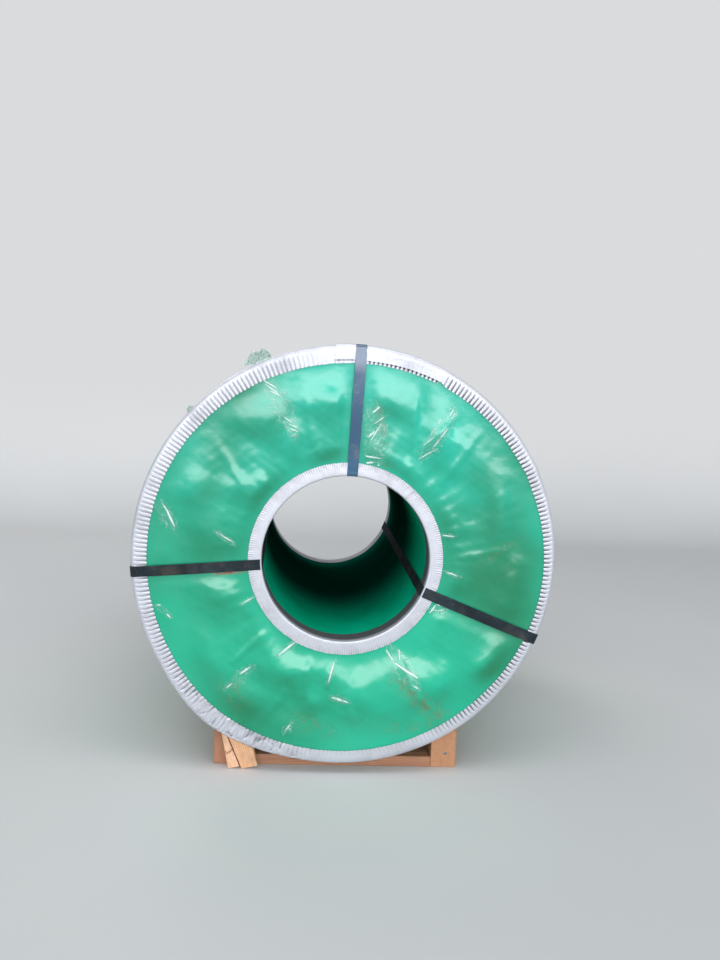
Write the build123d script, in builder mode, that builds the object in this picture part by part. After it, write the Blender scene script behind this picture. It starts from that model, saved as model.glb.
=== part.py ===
from build123d import *
import math
import os

# A packed coil of steel strip, lying with its eye level on a timber cradle.
# Millimetres. The coil's axis runs along Y, its front end faces -Y, and Z is up from the floor.

# The wound strip
strip_width = 1219.0
bore_diameter = 508.0
coil_diameter = 1262.0
turn_step_depth = 1.2
turn_step_radius = 470.0

# Sheet packing: how thick each layer is, and the slack between a layer and what it lies on
wrap_thickness = 2.0
cover_thickness = 2.0
liner_thickness = 1.5
layer_slack = 0.3

# Edge rings: angle section, one flange over the end, one over the outside or down the eye
ring_sheet = 1.2
flange_thickness = 2.6
ring_edge_bevel = 3.0
outer_flange_width = 42.0
outer_flange_depth = 50.0
inner_flange_width = 41.0
inner_flange_depth = 80.0

# Pleats that gather the outer ring's flange round the curve, deepest at its inner edge. Their cutter
# starts at a lead inside that edge, and its mouth is wider than the groove by the spare factor.
flute_count = 288
flute_length = 28.0
flute_depth = 2.2
ridge_width = 1.0
flute_lead = 3.0
flute_spare = 1.05

# Where the ends of each ring's strip overlap, in degrees counter-clockwise from +X
outer_lap_start = 65.0
outer_lap_end = 95.3
outer_lap_setback = 9.0
inner_lap_start = 50.0
inner_lap_end = 66.0

# Steel strapping: three bands through the eye, two round the outside
strap_width = 32.0
strap_thickness = 0.9
strap_slack = 0.1
eye_strap_angles = {"top": 88.5, "left": 185.1, "right": 338.9}
strap_sector_spare = 1.0
eye_seal_y = 120.0
hoop_spacing = 560.0
hoop_seal_angles = [35.0, 50.0]
seal_length = 45.0
seal_sheet = 1.0
seal_slack = 0.1

# Timber cradle
ground_clearance = 36.0
bearer_width = 80.0
bearer_offset = 340.0
bearer_end_inset = 70.0
seat_slack = 0.3
crossboard_width = 100.0
crossboard_thickness = 34.0

# Two tapered boards nailed side by side over the end of the left bearer, both leaning away from the coil
chock_thickness = 35.0
chock_ring_room = 22.0
chock_seam_lean = 23.0
chock_foot_tilt = 11.0
wide_chock_heel = -290.0
wide_chock_foot = 50.0
wide_chock_lean = 15.0
narrow_chock_heel = -331.0
narrow_chock_foot = 35.0
narrow_chock_lean = 11.7

# Radii of the package, from the eye outwards
bore_radius = bore_diameter / 2
coil_radius = coil_diameter / 2
liner_outer_radius = bore_radius - layer_slack
liner_inner_radius = liner_outer_radius - liner_thickness
eye_radius = liner_inner_radius - layer_slack - ring_sheet
wrap_inner_radius = coil_radius + layer_slack
wrap_outer_radius = wrap_inner_radius + wrap_thickness
ring_inside_radius = wrap_outer_radius + layer_slack
ring_outer_radius = ring_inside_radius + ring_sheet
outer_flange_edge = ring_outer_radius - outer_flange_width
inner_flange_edge = eye_radius + inner_flange_width
hoop_inner_radius = wrap_outer_radius + strap_slack
hoop_outer_radius = hoop_inner_radius + strap_thickness

strap_sector = 2 * math.degrees(math.asin(strap_width / 2 / eye_radius)) + strap_sector_spare

# Distances along the axis from the middle of the coil
strip_end = strip_width / 2
stepped_end = strip_end - turn_step_depth
cover_back = strip_end + layer_slack
cover_face = cover_back + cover_thickness
ring_back = cover_face + layer_slack
ring_face = ring_back + flange_thickness
bearer_end = ring_face - bearer_end_inset

# The coil's axis, and the planes that its pieces are placed by
axis_height = ground_clearance + ring_outer_radius
coil_plane = Plane.XY.offset(axis_height)
coil_axis = Axis((0, 0, axis_height), (0, 1, 0))
centre_plane = Plane(origin=(0, 0, axis_height), x_dir=(1, 0, 0), z_dir=(0, -1, 0))
front_plane = Plane(origin=(0, -ring_back, axis_height), x_dir=(1, 0, 0), z_dir=(0, -1, 0))


def radial_plane(angle):
    """Plane through the local Z axis at an angle from local X, with X outwards and Y along the axis."""
    turn = math.radians(angle)
    outwards = (math.cos(turn), math.sin(turn), 0)
    across = (math.sin(turn), -math.cos(turn), 0)
    return Plane(origin=(0, 0, 0), x_dir=outwards, z_dir=across)


def tube_profile(inner, outer, low, high):
    """Rectangle of a turned layer, from one radius to another and from one station to another."""
    with Locations(((inner + outer) / 2, (low + high) / 2)):
        Rectangle(outer - inner, high - low)


def turned(inner, outer, low, high):
    """A plain turned layer about the coil's axis."""
    with BuildPart() as layer:
        with BuildSketch(coil_plane):
            tube_profile(inner, outer, low, high)
        revolve(axis=coil_axis)
    return layer.part


def sector(inner, outer, low, high, middle_angle, arc):
    """Part of a turned layer about the local Z axis, spread evenly to both sides of an angle."""
    with BuildPart() as piece:
        with BuildSketch(radial_plane(middle_angle - arc / 2)):
            tube_profile(inner, outer, low, high)
        revolve(axis=Axis.Z, revolution_arc=arc)
    return piece.part


# Steel coil: one turned body. At both ends the outer turns were wound a little inside the inner ones.
with BuildPart() as steel_coil:
    with BuildSketch(coil_plane):
        tube_profile(bore_radius, turn_step_radius, -strip_end, strip_end)
        tube_profile(turn_step_radius, coil_radius, -stepped_end, stepped_end)
    revolve(axis=coil_axis)

# Sheet round the outside, sheet down the eye, and a flat sheet over each end
outer_wrap = turned(wrap_inner_radius, wrap_outer_radius, -strip_end, strip_end)
bore_liner = turned(liner_inner_radius, liner_outer_radius, -strip_end, strip_end)
end_cover_front = turned(bore_radius, coil_radius, -cover_face, -cover_back)
end_cover_rear = turned(bore_radius, coil_radius, cover_back, cover_face)


def bevel_over(distance):
    """Bevel of a corner that passes over the rings' bevelled edge at an even distance."""
    return ring_edge_bevel + (2 - math.sqrt(2)) * distance


# One pleat's V groove: its floor rises from flute_depth at the inner edge to the flange's face
flute_slope = math.atan(flute_depth / flute_length)
flute_pitch = 2 * math.pi * outer_flange_edge / flute_count
mouth_half = flute_spare * (flute_pitch - ridge_width) / 2
mouth_height = flute_spare * flute_depth * math.cos(flute_slope)
flute_plane = Plane(
    origin=(outer_flange_edge, 0, flange_thickness - flute_depth),
    x_dir=(0, 1, 0),
    z_dir=(math.cos(flute_slope), 0, math.sin(flute_slope)),
)

with BuildPart() as flute:
    with BuildSketch(flute_plane.offset(-flute_lead)):
        with BuildLine():
            Polyline((0, 0), (mouth_half, mouth_height), (-mouth_half, mouth_height), close=True)
        make_face()
    extrude(amount=flute_lead + flute_length + flute_lead)

# Outer edge ring, in its own frame: Z is out of the coil's end, and its face flange sits on Z = 0
with BuildPart() as outer_ring:
    with BuildSketch():
        Circle(ring_outer_radius)
        RegularPolygon(outer_flange_edge, flute_count, mode=Mode.SUBTRACT)
    extrude(amount=flange_thickness)
    with BuildSketch():
        Circle(ring_outer_radius)
        Circle(ring_inside_radius, mode=Mode.SUBTRACT)
    extrude(amount=flange_thickness - outer_flange_depth)
    chamfer(edges().filter_by(GeomType.CIRCLE).group_by(Axis.Z)[-1], ring_edge_bevel)
    with PolarLocations(0, flute_count):
        add(flute.part, mode=Mode.SUBTRACT)
    with BuildSketch(radial_plane(outer_lap_start)):
        with BuildLine():
            Polyline(
                (outer_flange_edge + outer_lap_setback, flange_thickness),
                (ring_outer_radius, flange_thickness),
                (ring_outer_radius, flange_thickness - outer_flange_depth),
                (ring_outer_radius + ring_sheet, flange_thickness - outer_flange_depth),
                (ring_outer_radius + ring_sheet, flange_thickness + ring_sheet),
                (outer_flange_edge + outer_lap_setback, flange_thickness + ring_sheet),
                close=True,
            )
        make_face()
        chamfer(vertices().group_by(Axis.X)[1].sort_by(Axis.Y)[-1], ring_edge_bevel)
        chamfer(vertices().group_by(Axis.X)[-1].sort_by(Axis.Y)[-1], bevel_over(ring_sheet))
    revolve(axis=Axis.Z, revolution_arc=outer_lap_end - outer_lap_start)

# Inner edge ring, in the same kind of frame: a face flange round the eye and a sleeve down it
with BuildPart() as inner_ring:
    with BuildSketch(Plane.XZ):
        with BuildLine():
            Polyline(
                (inner_flange_edge, 0),
                (eye_radius + ring_sheet, 0),
                (eye_radius + ring_sheet, flange_thickness - inner_flange_depth),
                (eye_radius, flange_thickness - inner_flange_depth),
                (eye_radius, flange_thickness),
                (inner_flange_edge, flange_thickness),
                close=True,
            )
        make_face()
        chamfer(vertices().group_by(Axis.X)[0].sort_by(Axis.Y)[-1], ring_edge_bevel)
    revolve(axis=Axis.Z)
    with BuildSketch(radial_plane(inner_lap_start)):
        tube_profile(
            eye_radius + ring_edge_bevel,
            inner_flange_edge,
            flange_thickness,
            flange_thickness + ring_sheet,
        )
    revolve(axis=Axis.Z, revolution_arc=inner_lap_end - inner_lap_start)

with BuildPart(front_plane) as outer_ring_front:
    add(outer_ring.part)
with BuildPart(front_plane) as inner_ring_front:
    add(inner_ring.part)
with BuildPart() as outer_ring_rear:
    add(mirror(outer_ring_front.part, about=Plane.XZ, mode=Mode.PRIVATE))
with BuildPart() as inner_ring_rear:
    add(mirror(inner_ring_front.part, about=Plane.XZ, mode=Mode.PRIVATE))


def eye_strap(angle, lift):
    """A closed band down the eye, over both ends and along the outside, bent to the curves under it.

    The loop's profile is turned through a small sector and trimmed to the strap's width. Over the
    rings' laps the band stands off by lift."""
    low, high = eye_radius - strap_slack, ring_outer_radius + lift + strap_slack
    reach = ring_face + lift + strap_slack
    with BuildSketch() as opening:
        Rectangle(high - low, 2 * reach)
        chamfer(vertices(), bevel_over(lift + strap_slack))
    with BuildSketch() as outline:
        Rectangle(high - low + 2 * strap_thickness, 2 * (reach + strap_thickness))
        chamfer(vertices(), bevel_over(lift + strap_slack + strap_thickness))
    with BuildPart() as band:
        with BuildSketch(radial_plane(angle - strap_sector / 2)):
            with Locations(((low + high) / 2, 0)):
                add(outline.sketch)
                add(opening.sketch, mode=Mode.SUBTRACT)
        revolve(axis=Axis.Z, revolution_arc=strap_sector)
        Box(2 * coil_diameter, strap_width, 2 * strip_width, rotation=(0, 0, angle), mode=Mode.INTERSECT)
    return band.part


def eye_seal(angle, lift):
    """Folded sleeve over the outside run of an eye strap, closed over the top and both edges."""
    inner = ring_outer_radius + lift + strap_slack
    top = inner + strap_thickness + seal_slack
    low, high = eye_seal_y - seal_length / 2, eye_seal_y + seal_length / 2
    clear_arc = math.degrees((strap_width + 2 * seal_slack) / inner)
    full_arc = math.degrees((strap_width + 2 * seal_slack + 2 * seal_sheet) / inner)
    passage = sector(inner - seal_sheet, top, low - seal_sheet, high + seal_sheet, angle, clear_arc)
    with BuildPart() as seal:
        add(sector(inner, top + seal_sheet, low, high, angle, full_arc))
        add(passage, mode=Mode.SUBTRACT)
    return seal.part


def hoop_seal(angle, station):
    """Folded sleeve over a hoop strap, closed over the top and both edges."""
    top = hoop_outer_radius + seal_slack
    clear = strap_width / 2 + seal_slack
    full = clear + seal_sheet
    arc = math.degrees(seal_length / hoop_inner_radius)
    passage = sector(hoop_inner_radius - seal_sheet, top, station - clear, station + clear, angle, 2 * arc)
    with BuildPart() as seal:
        add(sector(hoop_inner_radius, top + seal_sheet, station - full, station + full, angle, arc))
        add(passage, mode=Mode.SUBTRACT)
    return seal.part


pieces = {
    "steel_coil": steel_coil.part,
    "outer_wrap": outer_wrap,
    "bore_liner": bore_liner,
    "end_cover_front": end_cover_front,
    "end_cover_rear": end_cover_rear,
    "outer_ring_front": outer_ring_front.part,
    "outer_ring_rear": outer_ring_rear.part,
    "inner_ring_front": inner_ring_front.part,
    "inner_ring_rear": inner_ring_rear.part,
}

# Eye straps and their seals, placed about the coil's axis; the top one rides over the rings' laps
for name, angle in eye_strap_angles.items():
    lift = ring_sheet if outer_lap_start < angle < outer_lap_end else 0
    with BuildPart(centre_plane) as strap:
        add(eye_strap(angle, lift))
    with BuildPart(centre_plane) as seal:
        add(eye_seal(angle, lift))
    pieces["eye_strap_" + name] = strap.part
    pieces["eye_seal_" + name] = seal.part

# Hoop straps round the outside, each with its seal
for number, seal_angle in enumerate(hoop_seal_angles):
    station = (number - (len(hoop_seal_angles) - 1) / 2) * hoop_spacing
    with BuildPart(centre_plane) as seal:
        add(hoop_seal(seal_angle, -station))
    pieces[f"hoop_strap_{number + 1}"] = turned(
        hoop_inner_radius, hoop_outer_radius, station - strap_width / 2, station + strap_width / 2
    )
    pieces[f"hoop_seal_{number + 1}"] = seal.part

# Bearers: two timbers along the coil, each with its top sawn to lie against the hoops
seat_radius = hoop_outer_radius + seat_slack
seat_angle = math.asin(bearer_offset / seat_radius)
seat_height = axis_height - seat_radius * math.cos(seat_angle)
bevel_rise = bearer_width / 2 * math.tan(seat_angle)
bearer_inner = bearer_offset - bearer_width / 2
bearer_outer = bearer_offset + bearer_width / 2

with BuildPart() as bearer_right:
    with BuildSketch(Plane.XZ):
        with BuildLine():
            Polyline(
                (bearer_inner, 0),
                (bearer_outer, 0),
                (bearer_outer, seat_height + bevel_rise),
                (bearer_inner, seat_height - bevel_rise),
                close=True,
            )
        make_face()
    extrude(amount=bearer_end, both=True)

with BuildPart() as bearer_left:
    add(mirror(bearer_right.part, about=Plane.YZ, mode=Mode.PRIVATE))

pieces["bearer_right"] = bearer_right.part
pieces["bearer_left"] = bearer_left.part

# Crossboards: flat on the floor between the bearers, under the coil
crossboard_reach = bearer_end - crossboard_width / 2
for name, station in [("front", -crossboard_reach), ("middle", 0), ("rear", crossboard_reach)]:
    with BuildPart(Plane((0, station, 0))) as crossboard:
        Box(
            2 * bearer_inner,
            crossboard_width,
            crossboard_thickness,
            align=(Align.CENTER, Align.CENTER, Align.MIN),
        )
    pieces["crossboard_" + name] = crossboard.part


def side_top(x, z, lean):
    """Where a board's side, which leaves (x, z) and leans away from the coil, meets the ring's room."""
    slope = math.tan(math.radians(lean))
    room = ring_outer_radius + chock_ring_room
    below = axis_height - z + slope * x
    spread = 1 + slope**2
    start = x**2 + (axis_height - z) ** 2 - room**2
    rise = (below - math.sqrt(below**2 - spread * start)) / spread
    return x - slope * rise, z + rise


def chock(heel, foot_width, left_lean, right_lean):
    """A board on its heel against the bearer's end, its top sawn to a curve below the edge ring."""
    tilt = math.radians(chock_foot_tilt)
    toe = (heel + foot_width * math.cos(tilt), foot_width * math.sin(tilt))
    left_top = side_top(heel, 0, left_lean)
    right_top = side_top(*toe, right_lean)
    with BuildPart() as board:
        with BuildSketch(Plane.XZ.offset(bearer_end)):
            with BuildLine():
                Polyline(left_top, (heel, 0), toe, right_top)
                RadiusArc(right_top, left_top, ring_outer_radius + chock_ring_room)
            make_face()
        extrude(amount=chock_thickness)
    return board.part


pieces["chock_wide"] = chock(wide_chock_heel, wide_chock_foot, chock_seam_lean, wide_chock_lean)
pieces["chock_narrow"] = chock(narrow_chock_heel, narrow_chock_foot, narrow_chock_lean, chock_seam_lean)

os.makedirs("parts", exist_ok=True)
for name, piece in pieces.items():
    piece.label = name
    export_step(piece, f"parts/{name}.step")
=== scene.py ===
import math

import bmesh
import bpy
import numpy as np
from mathutils import Matrix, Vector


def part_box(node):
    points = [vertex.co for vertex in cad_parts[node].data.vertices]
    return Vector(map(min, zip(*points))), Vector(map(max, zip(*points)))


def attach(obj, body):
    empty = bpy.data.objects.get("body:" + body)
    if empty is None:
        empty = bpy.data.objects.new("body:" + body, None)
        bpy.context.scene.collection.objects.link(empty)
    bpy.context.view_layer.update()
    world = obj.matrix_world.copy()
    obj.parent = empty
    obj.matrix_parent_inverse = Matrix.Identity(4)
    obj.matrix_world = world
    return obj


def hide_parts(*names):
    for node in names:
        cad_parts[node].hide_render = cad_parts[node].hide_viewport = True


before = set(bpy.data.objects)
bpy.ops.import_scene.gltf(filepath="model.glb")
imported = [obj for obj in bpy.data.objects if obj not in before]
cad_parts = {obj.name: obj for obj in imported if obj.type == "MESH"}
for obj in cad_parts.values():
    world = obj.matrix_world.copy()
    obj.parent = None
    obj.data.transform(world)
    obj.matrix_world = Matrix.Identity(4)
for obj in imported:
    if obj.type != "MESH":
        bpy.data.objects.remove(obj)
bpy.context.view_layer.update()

# A packed steel coil on its timber cradle. Metres, in the frame of the CAD: the coil's axis runs along
# Y, the front end faces -Y, Z is up from the floor. Angles round the axis go counter-clockwise from +X
# as seen from the front. A depth or station along the axis is positive towards the front end.

# Sizes read from the frame
coil_low, coil_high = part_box("steel_coil")
hoop_low, hoop_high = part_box("hoop_strap_1")
hub_low, hub_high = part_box("inner_ring_front")
rim_low, rim_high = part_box("outer_ring_front")
axis_z = (coil_low[2] + coil_high[2]) / 2
coil_end = coil_high[1]
coil_radius = coil_high[0]
wrap_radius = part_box("outer_wrap")[1][0]
liner_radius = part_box("bore_liner")[1][0]
hoop_radius = hoop_high[0]
hoop_station = (hoop_low[1] + hoop_high[1]) / 2
cover_face = -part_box("end_cover_front")[0][1]

# Plastic sheets: the covers' hole and wall, how far a slack cover stands off and the least that it does,
# how far under a ring its slope starts, the wall of the other sheets, how far inside the CAD's outer
# faces the wrap and the liner show, the wrap's seam and lap, and its step out over the lap
cover_hole = 0.2545
cover_wall = 0.0006
cover_slack = 0.0050
cover_least = 0.0004
slope_start = 0.001
sheet_wall = 0.0005
wrap_depth = 0.0013
liner_depth = 0.0006
wrap_seam = math.radians(148)
wrap_lap = 0.12
wrap_step = 0.0008
front_seed = 11

# Edge rings: the sheet they are bent from, the thinner skin that is modelled, flange, skirt and bends
ring_sheet = 0.0012
ring_skin = 0.0004
flange_gap = 0.0003
ring_face = -rim_low[1] - ring_sheet
ring_back = cover_face + flange_gap
ring_radius = rim_high[0]
eye_radius = 0.2507
outer_flange_width = 0.042
outer_flange_edge = ring_radius - outer_flange_width
inner_flange_edge = hub_high[0]
outer_skirt = rim_high[1] - rim_low[1] - ring_sheet
inner_sleeve = hub_high[1] - hub_low[1] - ring_sheet
ring_bend = 0.011
eye_bend = 0.004
crimp_count = 260

# Where an outer ring's flange is wider than drawn, or narrower: angle in degrees, half-width in radians,
# amount
flange_changes = [(106, 0.95, 0.0125), (192, 0.55, 0.0060), (350, 0.45, -0.0075)]

# Pleats of the outer rings. The stops are the places across one pleat at which it is measured.
pleat_count = 288
pleat_depth = 0.0022
pleat_fade = 0.031
tongue_height = 0.0005
scallop_depth = 0.0034
scallop_reach = 0.0035
pleat_stops = [-0.5, -0.34, -0.22, -0.15, -0.08, 0.0, 0.08, 0.15, 0.22, 0.34]
rear_pleat_stops = [-0.5, -0.22, -0.1, 0.1, 0.22]

# The joint of each outer ring: its upper ply ends at lap_head, its lower ply at lap_tail. The upper ply
# lies out by lap_lift, its free end springs up by lap_spring, and its inner edge is set back. Then the
# inner ring's joint
lap_head = math.radians(95.3)
lap_tail = math.radians(65.0)
lap_lift = 0.0007
lap_spring = 0.0030
lap_setback = 0.0075
inner_lap_start = math.radians(50.0)
inner_lap_end = math.radians(66.0)
inner_lap_step = 0.0009

# Where the outer ring has sagged off the coil, where it is crushed and where its edge has a kink: angle
# in degrees, half-width in radians
sag_angle = 233.0
sag_width = math.radians(17.0)
sag_depth = 0.019
crush_angle = 240.0
crush_width = sag_width * 1.15
kink_angle = 28
kink_width = 0.022
kink_height = 0.002

# Strapping. A seal's side is straight from seal_side_low up to seal_side_high, and at both crimps, which
# lie at notch_place to either side of its middle, the side is notched and the top is pressed down.
strap_width = 0.032
strap_sheet = 0.0009
strap_gap = 0.0001
strap_bend = 0.0090
strap_bow = 0.0040
strap_angles = {"top": math.radians(88.5), "left": math.radians(185.1), "right": math.radians(338.9)}
seal_length = 0.045
seal_height = 0.0020
seal_sheet = 0.0009
seal_bend = 0.0008
seal_beside = 0.0011
seal_side_low = 0.0002
seal_side_high = 0.0012
notch_place = 0.011
notch_width = 0.0032
notch_depth = 0.0016
notch_press = 0.00022

# Timber: how far its ends draw in, the roundness of its corners and the room between the bearers' tops
# and the coil. For the boards at the left bearer's end, the room under the ring, the slope of the foot
# in degrees, the roundness of the edges, the share of the height that draws in at each end, the depth
# of a crack, and how far the front stands proud below it
timber_edge = 0.002
timber_corner = 0.0025
seat_slack = 0.0003
chock_ring_room = 0.022
chock_foot_tilt = 11.0
chock_edge = 0.0022
chock_end = 0.012
crack_depth = 0.0035
crack_step = 0.0014

# Nail heads: height of the dome, and how deep the head goes into the timber
nail_dome = 0.0014
nail_depth = 0.004

# Clear film: the spacing of its grid, how far it stands off the cover, its wall, and for the tufts how
# far behind the ring's face and how far off the ring they stand, and their wall
film_step = 0.0018
film_gap = 0.0016
film_wall = 0.00012
tuft_setback = 0.030
tuft_gap = 0.0006
tuft_wall = 0.0003

# Shapes


def around(angle, radius, station):
    """Point at an angle round the axis, at a radius from it, a station along it from the coil's middle."""
    angle, radius, station = np.broadcast_arrays(angle, radius, station)
    return np.stack([radius * np.cos(angle), -station, axis_z + radius * np.sin(angle)], axis=-1)


def rise(x, start, end):
    """Smooth step from 0 at start to 1 at end: 3t^2 - 2t^3 of the share t of the way."""
    t = np.clip((x - start) / (end - start), 0.0, 1.0)
    return t * t * (3 - 2 * t)


def turn_from(angle, centre):
    """Signed angle from centre to angle, between minus and plus half a turn."""
    return (angle - centre + np.pi) % (2 * np.pi) - np.pi


def hump(x, width):
    """Bell curve of height 1: e to the minus square of x over width."""
    return np.exp(-((x / width) ** 2))


def full_turn(count):
    """Angles of a closed ring, evenly spaced, down a column."""
    return np.linspace(0, 2 * np.pi, count, endpoint=False)[:, None]


def lobe(angle, degrees, width):
    """Bell curve of height 1 round the axis, at an angle in degrees, with its half-width in radians."""
    return hump(turn_from(angle, math.radians(degrees)), width)


def waves(u, v, length, seed, count=18):
    """Soft random relief between about -1 and 1: a sum of sine waves over u and v with random headings
    and phases, and wavelengths from 0.6 to 1.7 times length."""
    dice = np.random.default_rng(seed)
    heading = dice.uniform(0, 2 * np.pi, count)
    pitch = length * dice.uniform(0.6, 1.7, count)
    phase = dice.uniform(0, 2 * np.pi, count)
    run = u[..., None] * np.cos(heading) + v[..., None] * np.sin(heading)
    return np.sin(2 * np.pi * run / pitch + phase).sum(-1) / math.sqrt(count / 2) / 2


def creases(u, v, length, seed):
    """Sharp folds between 0 and 1: high where a soft relief crosses zero, falling off to both sides."""
    return np.clip(1 - 3.2 * np.abs(waves(u, v, length, seed)), 0, 1) ** 2


def piece_of(name, points, faces, material=None, slot=None, replaces=(), smooth_below=38, shares=None):
    """A mesh object at the origin with outward faces, smooth except at edges sharper than an angle.
    shares are named values for each point, which the materials read."""
    mesh = bpy.data.meshes.new(name)
    mesh.from_pydata(np.asarray(points).tolist(), [], [f.tolist() for f in faces])
    for key, values in (shares or {}).items():
        kind, field = ("FLOAT_VECTOR", "vector") if values.ndim == 2 else ("FLOAT", "value")
        attribute = mesh.attributes.new(key, kind, "POINT")
        attribute.data.foreach_set(field, values.astype(np.float32).ravel())
    work = bmesh.new()
    work.from_mesh(mesh)
    bmesh.ops.recalc_face_normals(work, faces=work.faces)
    work.to_mesh(mesh)
    work.free()
    mesh.polygons.foreach_set("use_smooth", np.ones(len(mesh.polygons), dtype=bool))
    mesh.set_sharp_from_angle(angle=math.radians(smooth_below))
    piece = bpy.data.objects.new(name, mesh)
    bpy.context.collection.objects.link(piece)
    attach(piece, "root")
    if material:
        mesh.materials.append(material)
    if replaces:
        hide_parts(*replaces)
    return piece


def grid_faces(rows, columns, close_rows=False, close_columns=False):
    """Quads of a grid: corners (i, j), (i+1, j), (i+1, j+1), (i, j+1), joined round where closed."""
    i, j = np.meshgrid(
        np.arange(rows if close_rows else rows - 1),
        np.arange(columns if close_columns else columns - 1),
        indexing="ij",
    )
    i2, j2 = (i + 1) % rows, (j + 1) % columns
    return np.stack(
        [i * columns + j, i2 * columns + j, i2 * columns + j2, i * columns + j2], axis=-1
    ).reshape(-1, 4)


def sheet_of(name, outside, inside, closed=False, shares=None, **dress):
    """A thin closed sheet. Each row is the outside's points followed by the inside's in reverse, joined
    into a loop. The rows are joined into a ring, or the first and the last are capped with quads that
    pair each outside point with the inside point under it."""
    loops = np.concatenate([outside, inside[:, ::-1]], axis=1)
    if shares:
        shares = {key: np.concatenate([v, v[:, ::-1]], axis=1).ravel() for key, v in shares.items()}
    rows, columns = loops.shape[:2]
    faces = [grid_faces(rows, columns, close_rows=closed, close_columns=True)]
    if not closed:
        k = np.arange(outside.shape[1] - 1)
        cap = np.stack([k, k + 1, columns - 2 - k, columns - 1 - k], axis=-1)
        faces += [cap, cap + (rows - 1) * columns]
    return piece_of(name, loops.reshape(-1, 3), np.concatenate(faces), shares=shares, **dress)


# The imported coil


def strap_pinch(angle, radius, clear=0.014, reach=0.065):
    """0 under an eye strap and 1 away from it, from the distance to the nearest strap's middle line."""
    free = np.ones(np.broadcast(angle, radius).shape)
    for middle in strap_angles.values():
        beside = np.abs(radius * np.sin(turn_from(angle, middle)))
        same_side = np.cos(turn_from(angle, middle)) > 0
        free = np.minimum(free, np.where(same_side, rise(beside, clear, reach), 1.0))
    return free


def sag(angle):
    """How far the outer ring stands off the coil: a broad hump where it has sagged."""
    return sag_depth * lobe(angle, sag_angle, sag_width)


def flange_edge(angle):
    """Radius of an outer ring's inner edge: the even edge less flange_changes, and a fifth of the sag."""
    wider = sum(amount * lobe(angle, at, width) for at, width, amount in flange_changes)
    return outer_flange_edge - wider + 0.2 * sag(angle)


# Soft bulges of the front cover: place across and above the axis, half-width, half-height, height
front_bulges = [
    (-0.295, 0.420, 0.085, 0.060, 0.0070),
    (-0.075, 0.450, 0.075, 0.080, 0.0030),
    (-0.172, 0.345, 0.022, 0.055, 0.0050),
    (0.120, 0.355, 0.050, 0.040, 0.0028),
    (0.095, 0.495, 0.030, 0.045, 0.0034),
    (0.058, 0.490, 0.014, 0.050, -0.0030),
    (0.150, 0.470, 0.035, 0.065, 0.0052),
    (0.208, 0.500, 0.022, 0.080, -0.0050),
    (0.258, 0.385, 0.036, 0.078, 0.0068),
    (0.308, 0.436, 0.022, 0.075, -0.0040),
    (0.452, 0.165, 0.036, 0.095, 0.0140),
    (-0.300, 0.210, 0.070, 0.045, 0.0055),
    (-0.300, 0.305, 0.045, 0.045, 0.0045),
    (-0.470, 0.220, 0.040, 0.060, 0.0065),
    (-0.165, -0.338, 0.082, 0.082, 0.0150),
    (0.060, -0.420, 0.100, 0.095, 0.0180),
    (0.268, -0.372, 0.078, 0.068, 0.0215),
    (0.452, -0.322, 0.050, 0.064, 0.0185),
    (-0.085, -0.448, 0.030, 0.036, 0.0080),
    (-0.395, -0.330, 0.050, 0.070, 0.0090),
    (-0.355, -0.120, 0.060, 0.045, 0.0070),
    (0.400, -0.020, 0.100, 0.060, 0.0040),
    (-0.400, 0.080, 0.080, 0.050, 0.0040),
    (-0.270, -0.450, 0.070, 0.050, 0.0060),
]

# Where the covers leave the eye's ring in a long slope: angle in degrees, half-width in radians
slack_spans = [(-118, 0.20), (-80, 0.26), (-52, 0.17)]

# Gathers of the front cover: places where a fold starts and ends, half-width, height
front_folds = [
    ((-0.150, 0.560), (-0.115, 0.330), 0.014, 0.0030),
    ((0.190, 0.560), (0.180, 0.300), 0.012, 0.0030),
    ((0.330, 0.470), (0.205, 0.330), 0.012, 0.0034),
    ((0.395, 0.420), (0.270, 0.230), 0.014, 0.0026),
    ((-0.095, -0.290), (-0.105, -0.430), 0.013, 0.0036),
    ((-0.235, -0.225), (-0.330, -0.330), 0.012, 0.0030),
    ((-0.025, -0.300), (-0.040, -0.400), 0.010, 0.0036),
    ((0.165, -0.265), (0.225, -0.400), 0.012, 0.0044),
    ((0.215, -0.395), (0.325, -0.490), 0.013, 0.0030),
    ((-0.400, 0.350), (-0.290, 0.170), 0.016, 0.0024),
    ((0.010, -0.400), (0.060, -0.540), 0.018, 0.0026),
    ((-0.160, -0.400), (-0.240, -0.520), 0.018, 0.0028),
    ((0.500, 0.050), (0.330, 0.020), 0.014, 0.0020),
]

# Dirt on the front cover: places where a streak starts and ends, half-width, strength
front_streaks = [
    ((0.160, -0.360), (0.330, -0.495), 0.030, 0.85),
    ((0.075, 0.470), (0.105, 0.290), 0.020, 0.60),
    ((-0.400, -0.057), (-0.285, -0.045), 0.0035, 2.40),
    ((-0.150, -0.490), (-0.020, -0.540), 0.030, 0.45),
    ((-0.360, -0.380), (-0.300, -0.440), 0.030, 0.50),
    ((0.150, -0.520), (0.300, -0.500), 0.020, 0.40),
    ((0.400, 0.010), (0.520, 0.080), 0.020, 0.35),
]


def beside(x, z, start, end):
    """How far points lie from the line between two places, and the share of the way along it."""
    step = np.subtract(end, start)
    share = np.clip(((x - start[0]) * step[0] + (z - start[1]) * step[1]) / (step @ step), 0, 1)
    return np.hypot(x - start[0] - share * step[0], z - start[1] - share * step[1]), share


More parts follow.
